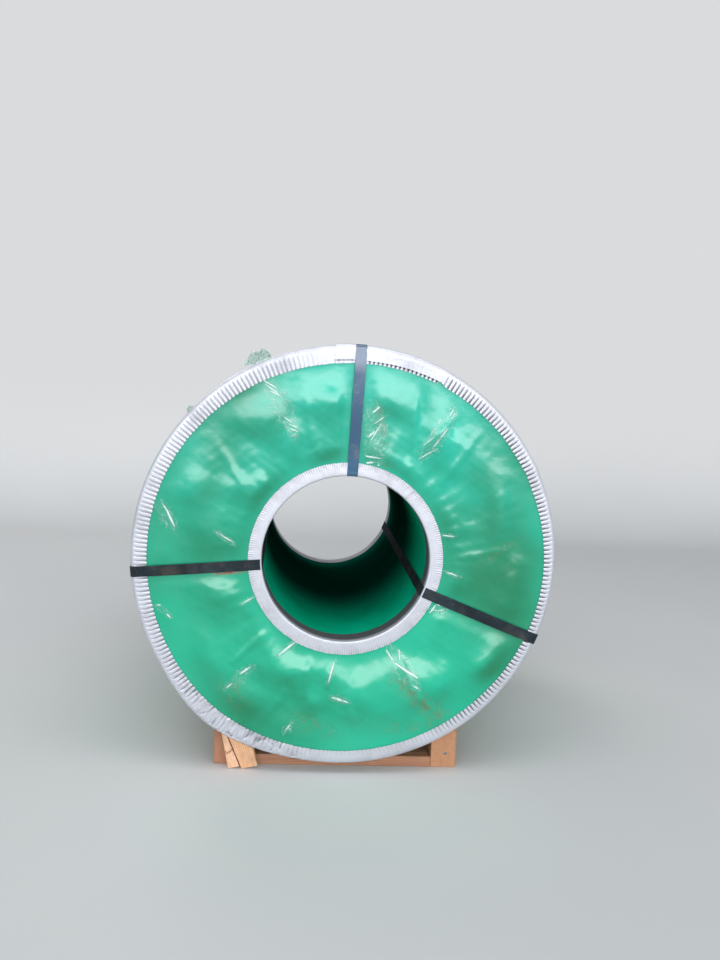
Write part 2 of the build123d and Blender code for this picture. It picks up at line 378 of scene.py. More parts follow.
def cover_height(angle, radius, seed, bulges, folds):
    """How far an end cover stands off the coil's end: a slack level with soft relief, radial gathers at
    the eye and at the rim, bulges and folds. All of it falls to nothing under the straps and in a slope
    at either ring. The slope at the eye is longer where the cover is slack, and the one at the rim is
    shorter low on the right."""
    x, z = radius * np.cos(angle), radius * np.sin(angle)
    slack = sum(lobe(angle, at, width) for at, width in slack_spans)
    eye_slope = 0.050 + 0.055 * np.minimum(slack, 1)
    rim_slope = 0.120 - 0.045 * lobe(angle, 332, 0.30)
    free = rise(radius, inner_flange_edge - slope_start, inner_flange_edge + eye_slope)
    free = free * rise(flange_edge(angle) - radius, -slope_start, rim_slope) * strap_pinch(angle, radius)
    height = cover_slack + 0.0042 * waves(x, z, 0.24, seed) + 0.0015 * waves(x, z, 0.10, seed + 1)
    gathers = waves(angle * 0.62, radius * 0.10, 0.075, seed + 2)
    height = height + 0.0011 * gathers * rise(radius, 0.50, 0.29)
    rim_gathers = waves(angle * 0.60, radius * 0.30, 0.055, seed + 3)
    height = height + 0.0012 * rim_gathers * rise(radius, 0.46, 0.58)
    for across, up, wide, high, amount in bulges:
        height = height + amount * hump(np.hypot((x - across) / wide, (z - up) / high), 1.0)
    for start, end, wide, amount in folds:
        off, share = beside(x, z, start, end)
        height = height + amount * hump(off, wide * 0.8) * np.sin(np.pi * share) ** 0.5
    height = height + 0.00022 * waves(x, z, 0.030, seed + 5)
    return np.maximum(height, cover_least) * free


def end_cover(name, side, seed, bulges, folds, streaks, rows, columns):
    """Cover over one end of the coil: a ring-shaped sheet over angle and radius, at the CAD's face plus
    cover_height, with a thin even wall behind it. dirt is the strongest of the streaks at a point, and
    the painted shade is high where the sheet's face looks down."""
    angle = full_turn(rows)
    radius = np.linspace(cover_hole, coil_radius - 0.001, columns)[None, :]
    height = cover_height(angle, radius, seed, bulges, folds)
    outside = around(angle, radius, side * (cover_face - cover_wall + height))
    inside = around(angle, radius, side * (cover_face - 2 * cover_wall + height))
    x, z = radius * np.cos(angle), radius * np.sin(angle)
    dirt = np.zeros_like(height)
    for start, end, wide, amount in streaks:
        off, share = beside(x, z, start, end)
        along = np.sin(np.pi * np.clip(share, 0.02, 0.98)) ** 0.3
        dirt = np.maximum(dirt, amount * hump(off, wide) * along)
    # Painted shade: a share that darkens the sheet's colour where its face looks down.
    tilt = np.gradient(height, axis=1) * np.sin(angle) + np.gradient(height, axis=0) * np.cos(angle) / 3
    down_facing_shade = np.clip(0.5 + tilt / 0.0030, 0, 1)
    cover = sheet_of(
        name, outside, inside, closed=True, shares={"dirt": dirt, "down_facing_shade": down_facing_shade},
        material=green_film, slot="green_sheet", replaces=["end_" + name],
    )


def wrap_relief(angle, station, seed):
    """Relief of the sheet round the coil: folds that run round and slantwise, pinched under the rings'
    skirts, the hoops and the straps."""
    s = angle * wrap_radius
    free = rise(coil_end - np.abs(station), outer_skirt - 0.004, outer_skirt + 0.03)
    free = free * rise(np.abs(np.abs(station) - abs(hoop_station)), 0.018, 0.06)
    free = free * strap_pinch(angle, wrap_radius)
    folds = creases(s * 0.45, station, 0.30, seed) * 0.0022
    folds = folds + creases(s, station * 0.6, 0.14, seed + 1) * 0.0012
    return free * (folds + 0.0008 + 0.0012 * waves(s, station, 0.16, seed + 2))


def outer_wrap():
    """Sheet round the coil: it starts at the seam, goes once round and laps over its own start by an
    eighth of a metre, lying a sheet's thickness further out where it does."""
    overlap = wrap_lap / wrap_radius
    angle = np.linspace(wrap_seam, wrap_seam + 2 * np.pi + overlap, 340)[:, None]
    station = np.linspace(-coil_end, coil_end, 56)[None, :]
    past = rise(angle - wrap_seam - 2 * np.pi, -0.02, 0.02)
    radius = wrap_radius - wrap_depth + wrap_step * past + wrap_relief(angle, station, 31)
    wrap = sheet_of(
        "wrap", around(angle, radius, station), around(angle, radius - sheet_wall, station),
        material=green_film, slot="green_sheet", replaces=["outer_wrap"],
    )


def bore_liner():
    """Sheet down the eye, with shallow folds along it that stay outside the rings' sleeves."""
    angle = full_turn(180)
    station = np.linspace(-coil_end, coil_end, 48)[None, :]
    s = angle * liner_radius
    free = rise(coil_end - np.abs(station), inner_sleeve - 0.004, inner_sleeve + 0.05)
    free = free * strap_pinch(angle, liner_radius, 0.02, 0.06)
    folds = creases(s, station * 0.35, 0.12, 51) * 0.0008 + 0.0004 * waves(s, station, 0.1, 52) + 0.0004
    radius = liner_radius - liner_depth - free * folds
    liner = sheet_of(
        "liner", around(angle, radius, station), around(angle, radius + sheet_wall, station),
        closed=True, material=dull_film, slot="green_sheet", replaces=["bore_liner"],
    )


def bent_profile(flange_from, corner, bend, skirt_to, face, steps=(26, 7, 10)):
    """Radius and station of an angle section: along the face flange, round the bend as a quarter
    circle, and back along the skirt. The corner is the skirt's radius. Skirts on the inside of the
    flange bend the other way."""
    outward = 1 if corner > flange_from else -1
    flat, arc, skirt = steps
    turn = np.linspace(0, np.pi / 2, arc)
    hub = corner - outward * bend
    radius = np.concatenate([
        np.linspace(flange_from, hub, flat, endpoint=False),
        hub + outward * bend * np.sin(turn),
        np.full(skirt, corner),
    ])
    station = np.concatenate([
        np.full(flat, face),
        face - bend * (1 - np.cos(turn)),
        np.linspace(face - bend, skirt_to, skirt + 1)[1:],
    ])
    return radius, station


def outer_ring(name, side, seed, stops):
    """Pleated edge ring. Its angle section is carried clockwise from lap_head once round and on to
    lap_tail under its own start. Each pleat is a valley with steep sides between two rounded tongues. The
    valley narrows and fades outwards, and at the inner edge it sets the edge back. The upper ply of the
    joint lies a sheet further out, nearly flat, and its free end springs up as far as the strap. Pleats
    are pressed flat over the top and at the foot, and where the ring is crushed the flange is rumpled."""
    dice = np.random.default_rng(seed)
    pitch = 2 * np.pi / pleat_count
    overlap = lap_head - lap_tail
    count = int(round((2 * np.pi + overlap) / pitch))
    along = ((np.arange(count)[:, None] + 0.5 + np.array(stops)[None, :]) * pitch).reshape(-1, 1)
    place = np.tile(np.array(stops), count)[:, None]
    number = np.repeat(np.arange(count), len(stops))[:, None]
    angle = lap_head - along
    radius, station = bent_profile(
        outer_flange_edge, ring_radius, ring_bend, ring_face - outer_skirt, ring_face, (8, 5, 2)
    )
    radius, station = radius[None, :], station[None, :]
    shoulder = rise(radius, ring_radius - 0.017, ring_radius - ring_bend) * rise(station, 0.55, 0.61)
    station = station - 0.0010 * shoulder
    on_flange = rise(ring_radius - ring_bend - radius, -0.001, 0.0)
    upper = 1 - rise(along, overlap, overlap + 0.05)
    lower = rise(along, 2 * np.pi - 0.02, 2 * np.pi)

    flat_top = lobe(angle, 95, math.radians(14)) * (1 - lower * 0.7)
    flat_top = np.maximum(flat_top, lobe(angle, 92.5, math.radians(5)))
    flat_foot = rise(np.abs(turn_from(angle, math.radians(266))), 0.80, 0.45)
    crushed = lobe(angle, crush_angle, crush_width)
    pressed = 1 - 0.90 * np.maximum(upper * (1 - lower), flat_top) - 0.72 * np.maximum(flat_foot, crushed)
    share = pressed * dice.uniform(0.8, 1.0, count)[number]
    inward = np.clip((outer_flange_edge + pleat_fade - radius) / pleat_fade, 0, 1)
    wide = 0.19 + 0.09 * inward
    valley = 1 - rise(np.abs(place), 0.35 * wide, wide)
    fade = rise(inward, 0.0, 0.22)
    tongue = np.cos(np.pi * np.clip((0.5 - np.abs(place)) / 0.36, 0, 1) / 2) ** 2
    between = (1 - valley) * (1 - tongue) * tongue_height * inward
    dip = fade * share * (valley * pleat_depth + between)

    tip = rise(outer_flange_edge + scallop_reach - radius, 0.0, scallop_reach)
    uneven = dice.normal(0, 0.00035, count)[number]
    scallop = scallop_depth * valley + 0.0014 * np.abs(2 * place) ** 2
    scallop = (scallop * (0.4 + 0.6 * share) + uneven) * tip
    spring = lap_spring * (1 - rise(along, 0.05, 0.125))
    setback = lap_setback * upper * rise(ring_radius - radius, 0.008, outer_flange_width)
    kink = kink_height * lobe(angle, kink_angle, kink_width)
    s, r = angle * ring_radius, radius
    rumple = waves(s, r * 1.4, 0.05, seed + 1) * 0.0014 + creases(s * 0.8, r * 0.9, 0.055, seed + 2) * 0.0052
    rumple = np.abs(rumple + creases(s * 1.3, r * 0.35, 0.024, seed + 4) * 0.0034)

    shift = flange_edge(angle) - outer_flange_edge
    shift = shift + (sag(angle) - shift) * rise(radius, outer_flange_edge, ring_radius - 0.010)
    dented = 0.0006 * np.abs(waves(angle, station * 8, 0.7, seed + 3)) * (1 - upper)
    dented = dented + 0.0024 * crushed * np.abs(waves(s, r, 0.03, seed + 5)) * (1 - on_flange)
    radial = radius + shift + scallop + setback + upper * lap_lift + spring + kink - dented
    room = ring_face - ring_back - 0.0006
    dip = dip + room * (1 - np.exp(-crushed * rumple * (1 - 0.4 * valley) / room))
    proud = 0.0018 * crushed * creases(s * 1.1, r * 0.5, 0.040, seed + 7)
    outward = station + (proud - np.minimum(dip, room)) * on_flange + upper * ring_sheet
    outward = outward - 0.0003 * np.abs(waves(s, r, 0.20, seed + 6)) * on_flange * (1 - crushed)
    outside = around(angle, radial, side * outward)
    inside = around(angle, radial - (1 - on_flange) * ring_skin, side * (outward - ring_skin * on_flange))
    # Painted shade with some dirt: dark in the pleats' valleys, less of it on the left, a painted shadow on
    # the lower ply along the upper ply's edge, and dark in the crushed part's rumples.
    grime_and_shade = valley * fade * share * (0.55 + 0.45 * inward)
    grime_and_shade = grime_and_shade * (1 - 0.42 * lobe(angle, 150, math.radians(62)))
    grime_and_shade = grime_and_shade + 0.6 * lower * hump(radius - outer_flange_edge - lap_setback, 0.0018)
    grime_and_shade = np.clip(grime_and_shade + 0.50 * crushed * rumple / 0.004, 0, 1) * on_flange + 0 * radial
    sheet_of(
        name, outside, inside, shares={"grime_and_shade": grime_and_shade}, material=edge_ring, slot="galvanised",
        replaces=[name.replace("rim", "outer_ring")],
    )


def inner_ring(name, side, seed, per_crimp, sleeve_shade):
    """Edge ring of the eye: an angle section carried once round, its flange crimped in fine radial
    folds, with a lap where the upper ply lies a sheet further out. Down the eye the sleeve is darkened with
    painted shade, and the crimps' folds carry painted shade too."""
    overlap = inner_lap_end - inner_lap_start
    along = np.linspace(0, 2 * np.pi + overlap, crimp_count * per_crimp)[:, None]
    angle = inner_lap_end - along
    radius, station = bent_profile(
        inner_flange_edge, eye_radius, eye_bend, ring_face - inner_sleeve, ring_face, (7, 5, 3)
    )
    radius, station = radius[None, :], station[None, :]
    on_flange = rise(radius - eye_radius - eye_bend, -0.001, 0.0)
    upper = 1 - rise(along, overlap, overlap + 0.05)
    place = angle / (2 * np.pi) * crimp_count
    fold = 0.5 + 0.5 * np.cos(2 * np.pi * place + 2.2 * waves(angle, radius, 0.4, seed))
    edge = rise(radius, eye_radius + 0.006, inner_flange_edge)
    uneven = np.abs(waves(angle * eye_radius, radius, 0.03, seed + 1))
    dip = 0.0008 * fold * edge + 0.0007 * uneven * edge
    tip = rise(radius, inner_flange_edge - 0.004, inner_flange_edge)
    radial = radius - (0.0009 * fold + 0.0010 * uneven) * tip
    outward = station - dip * on_flange + upper * inner_lap_step * on_flange
    outside = around(angle, radial, side * outward)
    inside = around(angle, radial + (1 - on_flange) * ring_skin, side * (outward - ring_skin * on_flange))
    # Painted shade: darker deeper down the sleeve, and in the crimps' folds.
    deep = rise(ring_face - station, 0.003, 0.012) * sleeve_shade
    grime_and_shade = np.clip(deep + 0.5 * fold * edge * on_flange, 0, 1) + 0 * radial
    sheet_of(
        name, outside, inside, shares={"grime_and_shade": grime_and_shade}, material=edge_ring, slot="galvanised",
        replaces=[name.replace("hub", "inner_ring")],
    )


def band_section(width, sheet, points=7):
    """Across and height of a strap's section: a flat band with rounded edges, as a closed loop."""
    round_turn = np.linspace(-np.pi / 2, np.pi / 2, points)
    half = sheet / 2
    right = np.stack([width / 2 - half + half * np.cos(round_turn), half * np.sin(round_turn)], axis=-1)
    flat = np.linspace(width / 2 - half, half - width / 2, 9)[1:-1]
    top = np.stack([flat, np.full_like(flat, half)], axis=-1)
    return np.concatenate([right, top, -right, -top])


def closed_tube(name, points, **dress):
    """A piece from a loop of sections that is closed both ways."""
    rows, columns = points.shape[:2]
    faces = grid_faces(rows, columns, close_rows=True, close_columns=True)
    piece_of(name, points.reshape(-1, 3), faces, **dress)


def eye_strap(name, angle, lift, material, slot):
    """Band through the eye: its section is carried round a rounded rectangle, down the eye, over the
    ends and along the outside. Across the band the points follow the circle under them. Over the ends
    it bows out a little, to clear the cover."""
    clear = strap_gap + strap_sheet / 2
    low, high = eye_radius - clear, ring_radius + lift + clear
    reach = ring_face + lift + clear
    bend = strap_bend
    corner = np.linspace(0, np.pi / 2, 9)
    length = np.linspace(-reach + bend, reach - bend, 60)
    face = np.linspace(low + bend, high - bend, 34)
    runs = [
        (0 * length + low, length),
        (low + bend * (1 - np.cos(corner)), reach - bend + bend * np.sin(corner)),
        (face, 0 * face + reach),
        (high - bend + bend * np.sin(corner), reach - bend + bend * np.cos(corner)),
        (0 * length + high, length[::-1]),
        (high - bend + bend * np.cos(corner), -reach + bend - bend * np.sin(corner)),
        (face[::-1], 0 * face - reach),
        (low + bend * (1 - np.sin(corner)), -reach + bend - bend * np.cos(corner)),
    ]
    radius = np.concatenate([r for r, _ in runs])
    station = np.concatenate([y for _, y in runs])
    keep = np.hypot(np.diff(radius, append=radius[:1]), np.diff(station, append=station[:1])) > 1e-7
    path = np.stack([radius[keep], station[keep]], axis=-1)
    heading = np.roll(path, -1, axis=0) - np.roll(path, 1, axis=0)
    heading /= np.linalg.norm(heading, axis=1, keepdims=True)
    radius, station = path[:, :1], path[:, 1:]
    across, up = band_section(strap_width, strap_sheet).T
    share = np.clip((radius - low - bend) / (high - low - 2 * bend), 0, 1) + 0 * across
    lean = rise(share, 1.06, 0.80) * rise(share, -0.05, 0.60)
    bow = strap_bow * lean + 0.0002 * waves(share, 0 * share, 0.5, 61)
    up = up + np.where(np.abs(station) > reach - bend, bow, 0)
    r = np.sqrt((radius - heading[:, 1:] * up) ** 2 - across**2)
    y = station + heading[:, :1] * up
    outward = np.array([math.cos(angle), 0, math.sin(angle)])
    sideways = np.array([-math.sin(angle), 0, math.cos(angle)])
    points = r[..., None] * outward + across[None, :, None] * sideways - y[..., None] * np.array([0, 1.0, 0])
    points[..., 2] += axis_z
    closed_tube(name, points, material=material, slot=slot, replaces=["eye_" + name])


def hoop_strap(name, station, node):
    """Band round the outside: its section is carried round a circle."""
    across, up = band_section(strap_width, strap_sheet).T
    points = around(full_turn(240), hoop_radius - strap_sheet / 2 + up, station + across)
    closed_tube(name, points, material=black_strap, slot="black_strap", replaces=[node])


def seal(name, node, place):
    """Crimped sleeve. Its section wraps over the strap and both edges; along its length the two crimps
    press the top down and notch the sides. place(along, across, height) puts a point on the coil."""
    along = np.linspace(-seal_length / 2, seal_length / 2, 46)[:, None]
    crimp = hump(along - notch_place, notch_width) + hump(along + notch_place, notch_width)
    reach = strap_width / 2 + seal_beside - notch_depth * crimp
    turn = np.linspace(0, np.pi / 2, 5)
    inset = np.concatenate([np.zeros(4), seal_bend * (1 - np.cos(turn))])
    straight = np.linspace(seal_side_low, seal_side_high, 4)
    level = np.concatenate([straight, seal_side_high + seal_bend * np.sin(turn)])
    flat = np.linspace(1, -1, 15)[1:-1]
    across = np.concatenate([reach - inset, (reach - seal_bend) * flat, (inset - reach)[:, ::-1]], axis=1)
    top = seal_height - notch_press * crimp
    side = level * top / seal_height
    height = np.concatenate([side, top * np.ones_like(flat), side[:, ::-1]], axis=1)
    outside = place(along, across, height)
    inside = place(along, across * (1 - seal_sheet / reach), np.maximum(height - seal_sheet, strap_gap))
    sheet_of(name, outside, inside, material=strap_seal, slot="strap_seal", replaces=[node])


# The timber cradle


def round_outline(corners, corner_radius, spacing):
    """Closed outline with rounded corners, and its outward normals. Each corner is an arc that touches
    both sides, and each side is divided evenly between the arcs. Corners go counter-clockwise."""
    corners = np.asarray(corners, dtype=float)
    arcs, facing = [], []
    for past, corner, ahead in zip(np.roll(corners, 1, axis=0), corners, np.roll(corners, -1, axis=0)):
        a = (corner - past) / np.linalg.norm(corner - past)
        b = (ahead - corner) / np.linalg.norm(ahead - corner)
        n_a, n_b = np.array([a[1], -a[0]]), np.array([b[1], -b[0]])
        bend = math.atan2(a[0] * b[1] - a[1] * b[0], a @ b)
        hub = corner - (n_a + n_b) / (1 + n_a @ n_b) * corner_radius
        share = np.linspace(0, 1, 5)[:, None]
        turned = n_a * np.cos(bend * share) + a * np.sin(bend * share)
        arcs.append(hub + turned * corner_radius)
        facing.append(turned)
    points, normals = [], []
    for arc, turned, after in zip(arcs, facing, arcs[1:] + arcs[:1]):
        steps = max(int(np.linalg.norm(after[0] - arc[-1]) / spacing), 1)
        points += [arc, arc[-1] + (after[0] - arc[-1]) * np.linspace(0, 1, steps + 1)[1:-1, None]]
        normals += [turned, np.repeat(turned[-1:], steps - 1, axis=0)]
    return np.concatenate(points), np.concatenate(normals)


def sawn(points, grain, seed, amount=1.0):
    """Depth of a sawn face below true: waves of the wood, ridges along the grain and marks of the saw."""
    run, other = points[..., grain], points[..., (grain + 1) % 3] + points[..., (grain + 2) % 3] * 0.7
    relief = 0.0004 * waves(run * 0.12, other, 0.010, seed) + 0.0007 * waves(run, other, 0.11, seed + 1)
    relief = relief + 0.0003 * waves(run, other * 0.1, 0.008, seed + 2) - 0.0007
    return np.minimum(relief, 0) * amount


def wood_place(points, grain, pith, lean=0.0):
    """Wood coordinates: along the grain, then the two across it, measured from the tree's pith. The
    first two of the piece's own directions are turned by lean first."""
    p = points.copy()
    p[:, 0] = points[:, 0] * math.cos(lean) - points[:, 1] * math.sin(lean)
    p[:, 1] = points[:, 0] * math.sin(lean) + points[:, 1] * math.cos(lean)
    return p[:, [grain, (grain + 1) % 3, (grain + 2) % 3]] + np.array([0.0, *pith])


def timber(node, outline, depth, lift, pith, spacing, material, seed):
    """A sawn timber: an outline with rounded corners carried along its depth, which is the grain's way.
    Near both ends the outline draws in round a quarter circle, and the end faces are rings that shrink
    to the middle, with saw marks. lift(points) turns (across, up, depth) into space."""
    loop, normals = round_outline(outline, timber_corner, spacing)
    low, high = depth
    turn = np.linspace(0, np.pi / 2, 4)[:-1]
    steps = max(int((high - low) / spacing), 4)
    inset = timber_edge * (1 - np.cos(turn))
    drawn = timber_edge * (1 - np.sin(turn))
    middle = np.linspace(low + timber_edge, high - timber_edge, steps)
    stations = np.concatenate([low + inset, middle, high - inset[::-1]])
    drawn = np.concatenate([drawn, np.zeros(steps), drawn[::-1]])
    across = loop[None] - normals[None] * drawn[:, None, None]
    shrink = np.array([0.94, 0.8, 0.64, 0.48, 0.32, 0.16, 0.04])[:, None, None]
    centre = loop.mean(axis=0)
    first = centre + (across[:1] - centre) * shrink[::-1]
    last = centre + (across[-1:] - centre) * shrink
    plane = np.concatenate([first, across, last])
    face = len(shrink)
    station = np.concatenate([np.full(face, stations[0]), stations, np.full(face, stations[-1])])
    local = np.concatenate([plane, np.repeat(station[:, None], len(loop), axis=1)[..., None]], axis=-1)
    on_end = np.concatenate([-np.ones(face), np.zeros(len(stations)), np.ones(face)])[:, None]
    local[..., :2] += (sawn(local, 2, seed) * (1 - np.abs(on_end)))[..., None] * normals[None]
    local[..., 2] += on_end * sawn(local, 1, seed + 5, 1.4)
    rows, columns = local.shape[:2]
    points = np.concatenate([local.reshape(-1, 3), [local[0].mean(axis=0), local[-1].mean(axis=0)]])
    k = np.arange(columns)
    fan = np.stack([k, (k + 1) % columns, np.full(columns, rows * columns)], axis=-1)
    fan_last = fan + (rows - 1) * columns
    fan_last[:, 2] = rows * columns + 1
    faces = [*grid_faces(rows, columns, close_columns=True), *fan, *fan_last]
    shares = {"wood": wood_place(points, 2, pith), "grime_and_shade": np.zeros(len(points))}
    piece_of(
        node + "_sawn", lift(points), faces, material=material, slot="brown_timber", replaces=[node],
        shares=shares,
    )


def side_top(x, z, lean):
    """Where a board's side, which leaves (x, z) and leans away from the coil, meets the room under the
    edge ring: the lower crossing of the line with a circle round the axis."""
    slope, room = math.tan(math.radians(lean)), ring_radius + chock_ring_room
    below, spread = axis_z - z + slope * x, 1 + slope**2
    up = (below - math.sqrt(below**2 - spread * (x**2 + (axis_z - z) ** 2 - room**2))) / spread
    return np.array([x - slope * up, z + up])


def chock(node, heel, foot_width, left_lean, right_lean, material, pith, seed, crack=None):
    """Board on its heel against the bearer's end. Its skin is a grid: up the board, lines run from the
    sloping foot to the curved top, and across it each row goes round the front, the edges and the back.
    A crack is a jagged groove across the board, below which the front stands a little proud."""
    tilt = math.radians(chock_foot_tilt)
    toe = np.array([heel + foot_width * math.cos(tilt), foot_width * math.sin(tilt)])
    heel = np.array([heel, 0.0])
    left, right = side_top(*heel, left_lean), side_top(*toe, right_lean)
    low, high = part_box(node)
    thick = high[1] - low[1]
    edge = chock_edge
    rows = 60
    turn = np.linspace(0, np.pi / 2, 4)
    width = np.linalg.norm(right - left)
    s_flat = np.linspace(edge / width, 1 - edge / width, 25)
    s_edge = 1 - edge / width + edge / width * np.sin(turn[1:])
    d_flat, d_edge = 0 * s_flat, edge * (1 - np.cos(turn[1:]))
    s = np.concatenate([s_flat, s_edge, s_edge[::-1], s_flat[::-1], 1 - s_edge, 1 - s_edge[::-1]])
    d = np.concatenate([d_flat, d_edge, thick - d_edge[::-1], d_flat + thick, thick - d_edge, d_edge[::-1]])
    v = np.concatenate([[0.0], np.linspace(chock_end, 1 - chock_end, rows - 2), [1.0]])[:, None]
    s, d = s[None, :] + 0 * v, d[None, :] + 0 * v
    to_end = np.clip(np.minimum(v, 1 - v) / chock_end, 0, 1)
    draw = edge * (1 - np.sqrt(1 - (1 - to_end) ** 2))
    d = thick / 2 + (d - thick / 2) * (1 - 2 * draw / thick)
    a0, a1 = [math.atan2(p[1] - axis_z, p[0]) for p in (left, right)]
    angle = a0 + (a1 - a0) * s
    top = np.stack([np.cos(angle), np.sin(angle)], axis=-1) * (ring_radius + chock_ring_room)
    top[..., 1] += axis_z
    foot = heel + (toe - heel) * s[..., None]
    flat = foot + (top - foot) * v[..., None]
    local = np.concatenate([flat, d[..., None]], axis=-1)
    front = 1 - rise(d, edge * 0.5, edge)
    back = rise(d, thick - edge, thick - edge * 0.5)
    groove = np.zeros_like(d)
    if crack:
        line = v - crack[0] - crack[1] * s - 0.045 * waves(s, 0 * s, 0.35, seed + 8)
        groove = hump(line, 0.018) * rise(s, -0.05, 0.1)
        local[..., 2] += front * (crack_depth * groove - crack_step * rise(-line, 0.0, 0.02) + crack_step)
    local[..., 2] += (back - front) * sawn(local, 1, seed)
    side = rise(d, edge, edge * 1.4) * (1 - rise(d, thick - edge * 1.4, thick - edge))
    local[..., 0] += side * sawn(local, 1, seed + 3) * np.where(s > 0.5, 1, -1)
    points = local.reshape(-1, 3)
    columns = local.shape[1]
    k = np.arange(columns // 2 - 1)
    cap = np.stack([k, k + 1, columns - 2 - k, columns - 1 - k], axis=-1)
    faces = np.concatenate([grid_faces(rows, columns, close_columns=True), cap, cap + (rows - 1) * columns])
    lean = math.radians((left_lean + right_lean) / 2)
    # The crack's groove is darker.
    shares = {"wood": wood_place(points, 1, pith, -lean), "grime_and_shade": np.clip(groove, 0, 1).ravel()}
    placed = np.stack([points[:, 0], low[1] + points[:, 2], points[:, 1]], axis=-1)
    piece_of(
        node + "_sawn", placed, faces, material=material, slot="pale_timber", replaces=[node],
        shares=shares,
    )


def nail(name, place, radius, seed):
    """Nail head on a face towards the front: a shallow dome carried round its own middle."""
    share = np.linspace(0.05, 1, 7)[None, :]
    turn = full_turn(28)
    reach = radius * np.minimum(share * 1.08, 1.0) * (1 + 0.03 * np.cos(3 * turn + seed))
    out = nail_dome * np.sqrt(1 - np.clip(share, 0, 0.995) ** 2) + 0 * turn
    x, z = reach * np.cos(turn), reach * np.sin(turn)
    shell = np.stack([place[0] + x, place[1] - out, place[2] + z], axis=-1)
    under = np.stack([place[0] + x, place[1] + nail_depth + 0 * x, place[2] + z], axis=-1)
    sheet_of(name, shell, under, closed=True, material=strap_seal)


# Loose film


def crumple(u, v, size, seed):
    """Relief of crumpled film between about -1 and 1: flat facets that meet in sharp ridges, at two
    sizes."""
    coarse = 1 - 2 * np.abs(waves(u, v, size, seed))
    fine = 1 - 2 * np.abs(waves(u, v, size * 0.4, seed + 1))
    return coarse * 0.7 + fine * 0.3


# Folds of the clear film on the front cover, painted bright as glints: places where a fold starts and ends,
# half-width
film_folds = [
    ((-0.263, 0.519), (-0.228, 0.501), 0.0022),
    ((-0.256, 0.507), (-0.222, 0.486), 0.0018),
    ((-0.245, 0.491), (-0.213, 0.478), 0.0018),
    ((-0.200, 0.417), (-0.177, 0.400), 0.0014),
    ((-0.184, 0.397), (-0.157, 0.386), 0.0014),
    ((-0.181, 0.384), (-0.157, 0.375), 0.0014),
    ((-0.175, 0.362), (-0.164, 0.369), 0.0020),
    ((0.056, 0.438), (0.076, 0.458), 0.0030),
    ((0.047, 0.367), (0.065, 0.385), 0.0024),
    ((0.054, 0.356), (0.085, 0.410), 0.0014),
    ((0.062, 0.407), (0.093, 0.430), 0.0012),
    ((0.033, 0.313), (0.089, 0.307), 0.0020),
    ((0.043, 0.291), (0.068, 0.295), 0.0024),
    ((0.079, 0.287), (0.104, 0.284), 0.0014),
    ((0.200, 0.310), (0.254, 0.344), 0.0014),
    ((0.209, 0.349), (0.243, 0.379), 0.0012),
    ((0.238, 0.343), (0.281, 0.406), 0.0024),
    ((0.229, 0.382), (0.265, 0.438), 0.0014),
    ((0.283, 0.437), (0.297, 0.462), 0.0018),
    ((-0.385, 0.073), (-0.341, 0.046), 0.0014),
    ((-0.374, 0.066), (-0.333, 0.043), 0.0012),
    ((0.286, 0.084), (0.320, 0.083), 0.0018),
    ((0.303, -0.028), (0.338, -0.037), 0.0022),
    ((0.259, -0.156), (0.277, -0.130), 0.0020),
    ((0.278, -0.128), (0.311, -0.133), 0.0016),
    ((0.266, -0.145), (0.303, -0.147), 0.0014),
    ((-0.189, -0.294), (-0.141, -0.256), 0.0028),
    ((-0.202, -0.236), (-0.193, -0.286), 0.0020),
    ((-0.302, -0.356), (-0.272, -0.335), 0.0030),
    ((-0.342, -0.401), (-0.325, -0.385), 0.0018),
    ((-0.037, -0.373), (-0.022, -0.313), 0.0026),
    ((0.131, -0.269), (0.157, -0.306), 0.0018),
    ((0.173, -0.260), (0.175, -0.305), 0.0014),
    ((0.161, -0.310), (0.230, -0.351), 0.0038),
    ((0.216, -0.373), (0.239, -0.387), 0.0020),
    ((-0.163, -0.535), (-0.141, -0.504), 0.0018),
    ((-0.153, -0.522), (-0.142, -0.529), 0.0014),
    ((-0.025, -0.420), (0.023, -0.432), 0.0040),
    ((-0.304, -0.142), (-0.271, -0.122), 0.0018),
    ((-0.533, 0.134), (-0.507, 0.082), 0.0030),
    ((-0.545, 0.150), (-0.522, 0.118), 0.0016),
    ((-0.563, 0.123), (-0.556, 0.109), 0.0014),
    ((-0.553, -0.155), (-0.536, -0.150), 0.0016),
    ((-0.523, -0.180), (-0.512, -0.192), 0.0020),
]


def film_strip(name, path, width, seed):
    """Clear film stuck to the front cover: a grid along a line through the path's places, its edges
    ragged, standing a little off the cover by its crumples and by the folds that cross it, which the
    film's material paints bright as glints."""
    path = np.asarray(path)
    reach = np.concatenate([[0], np.cumsum(np.linalg.norm(np.diff(path, axis=0), axis=1))])
    length = reach[-1]
    t = np.linspace(0, length, max(int(length / film_step), 12))[:, None]
    middle = np.stack([np.interp(t[:, 0], reach, path[:, k]) for k in (0, 1)], axis=-1)
    heading = np.gradient(middle, axis=0)
    heading /= np.linalg.norm(heading, axis=1, keepdims=True)
    share = np.linspace(-0.5, 0.5, max(int(width / film_step), 5))[None, :]
    taper = np.sin(np.pi * np.clip(t / length, 0.03, 0.97)) ** 0.4
    offset = share * width * taper * (1 + 0.35 * waves(t, share * 0.02, 0.02, seed))
    x, z = middle[:, :1] + offset * heading[:, 1:], middle[:, 1:] - offset * heading[:, :1]
    crumples = np.clip(crumple(t * 0.45, offset, 0.022, seed + 1), -1, 1)
    crease = 0.30 * np.clip((crumples - 0.55) / 0.4, 0, 1)
    for start, end, wide in film_folds:
        off, along = beside(x, z, start, end)
        crease = np.maximum(crease, hump(off, wide * (0.35 + 0.65 * np.sin(np.pi * along))))
    angle, radius = np.arctan2(z, x), np.hypot(x, z)
    height = cover_face + cover_height(angle, radius, front_seed, front_bulges, front_folds)
    height = height + film_gap + crumples * 0.0004 + crease * 0.0012
    outside = around(angle, radius, height)
    inside = around(angle, radius, height - film_wall)
    strip = sheet_of(name, outside, inside, shares={"crease": crease}, material=clear_film, smooth_below=60)


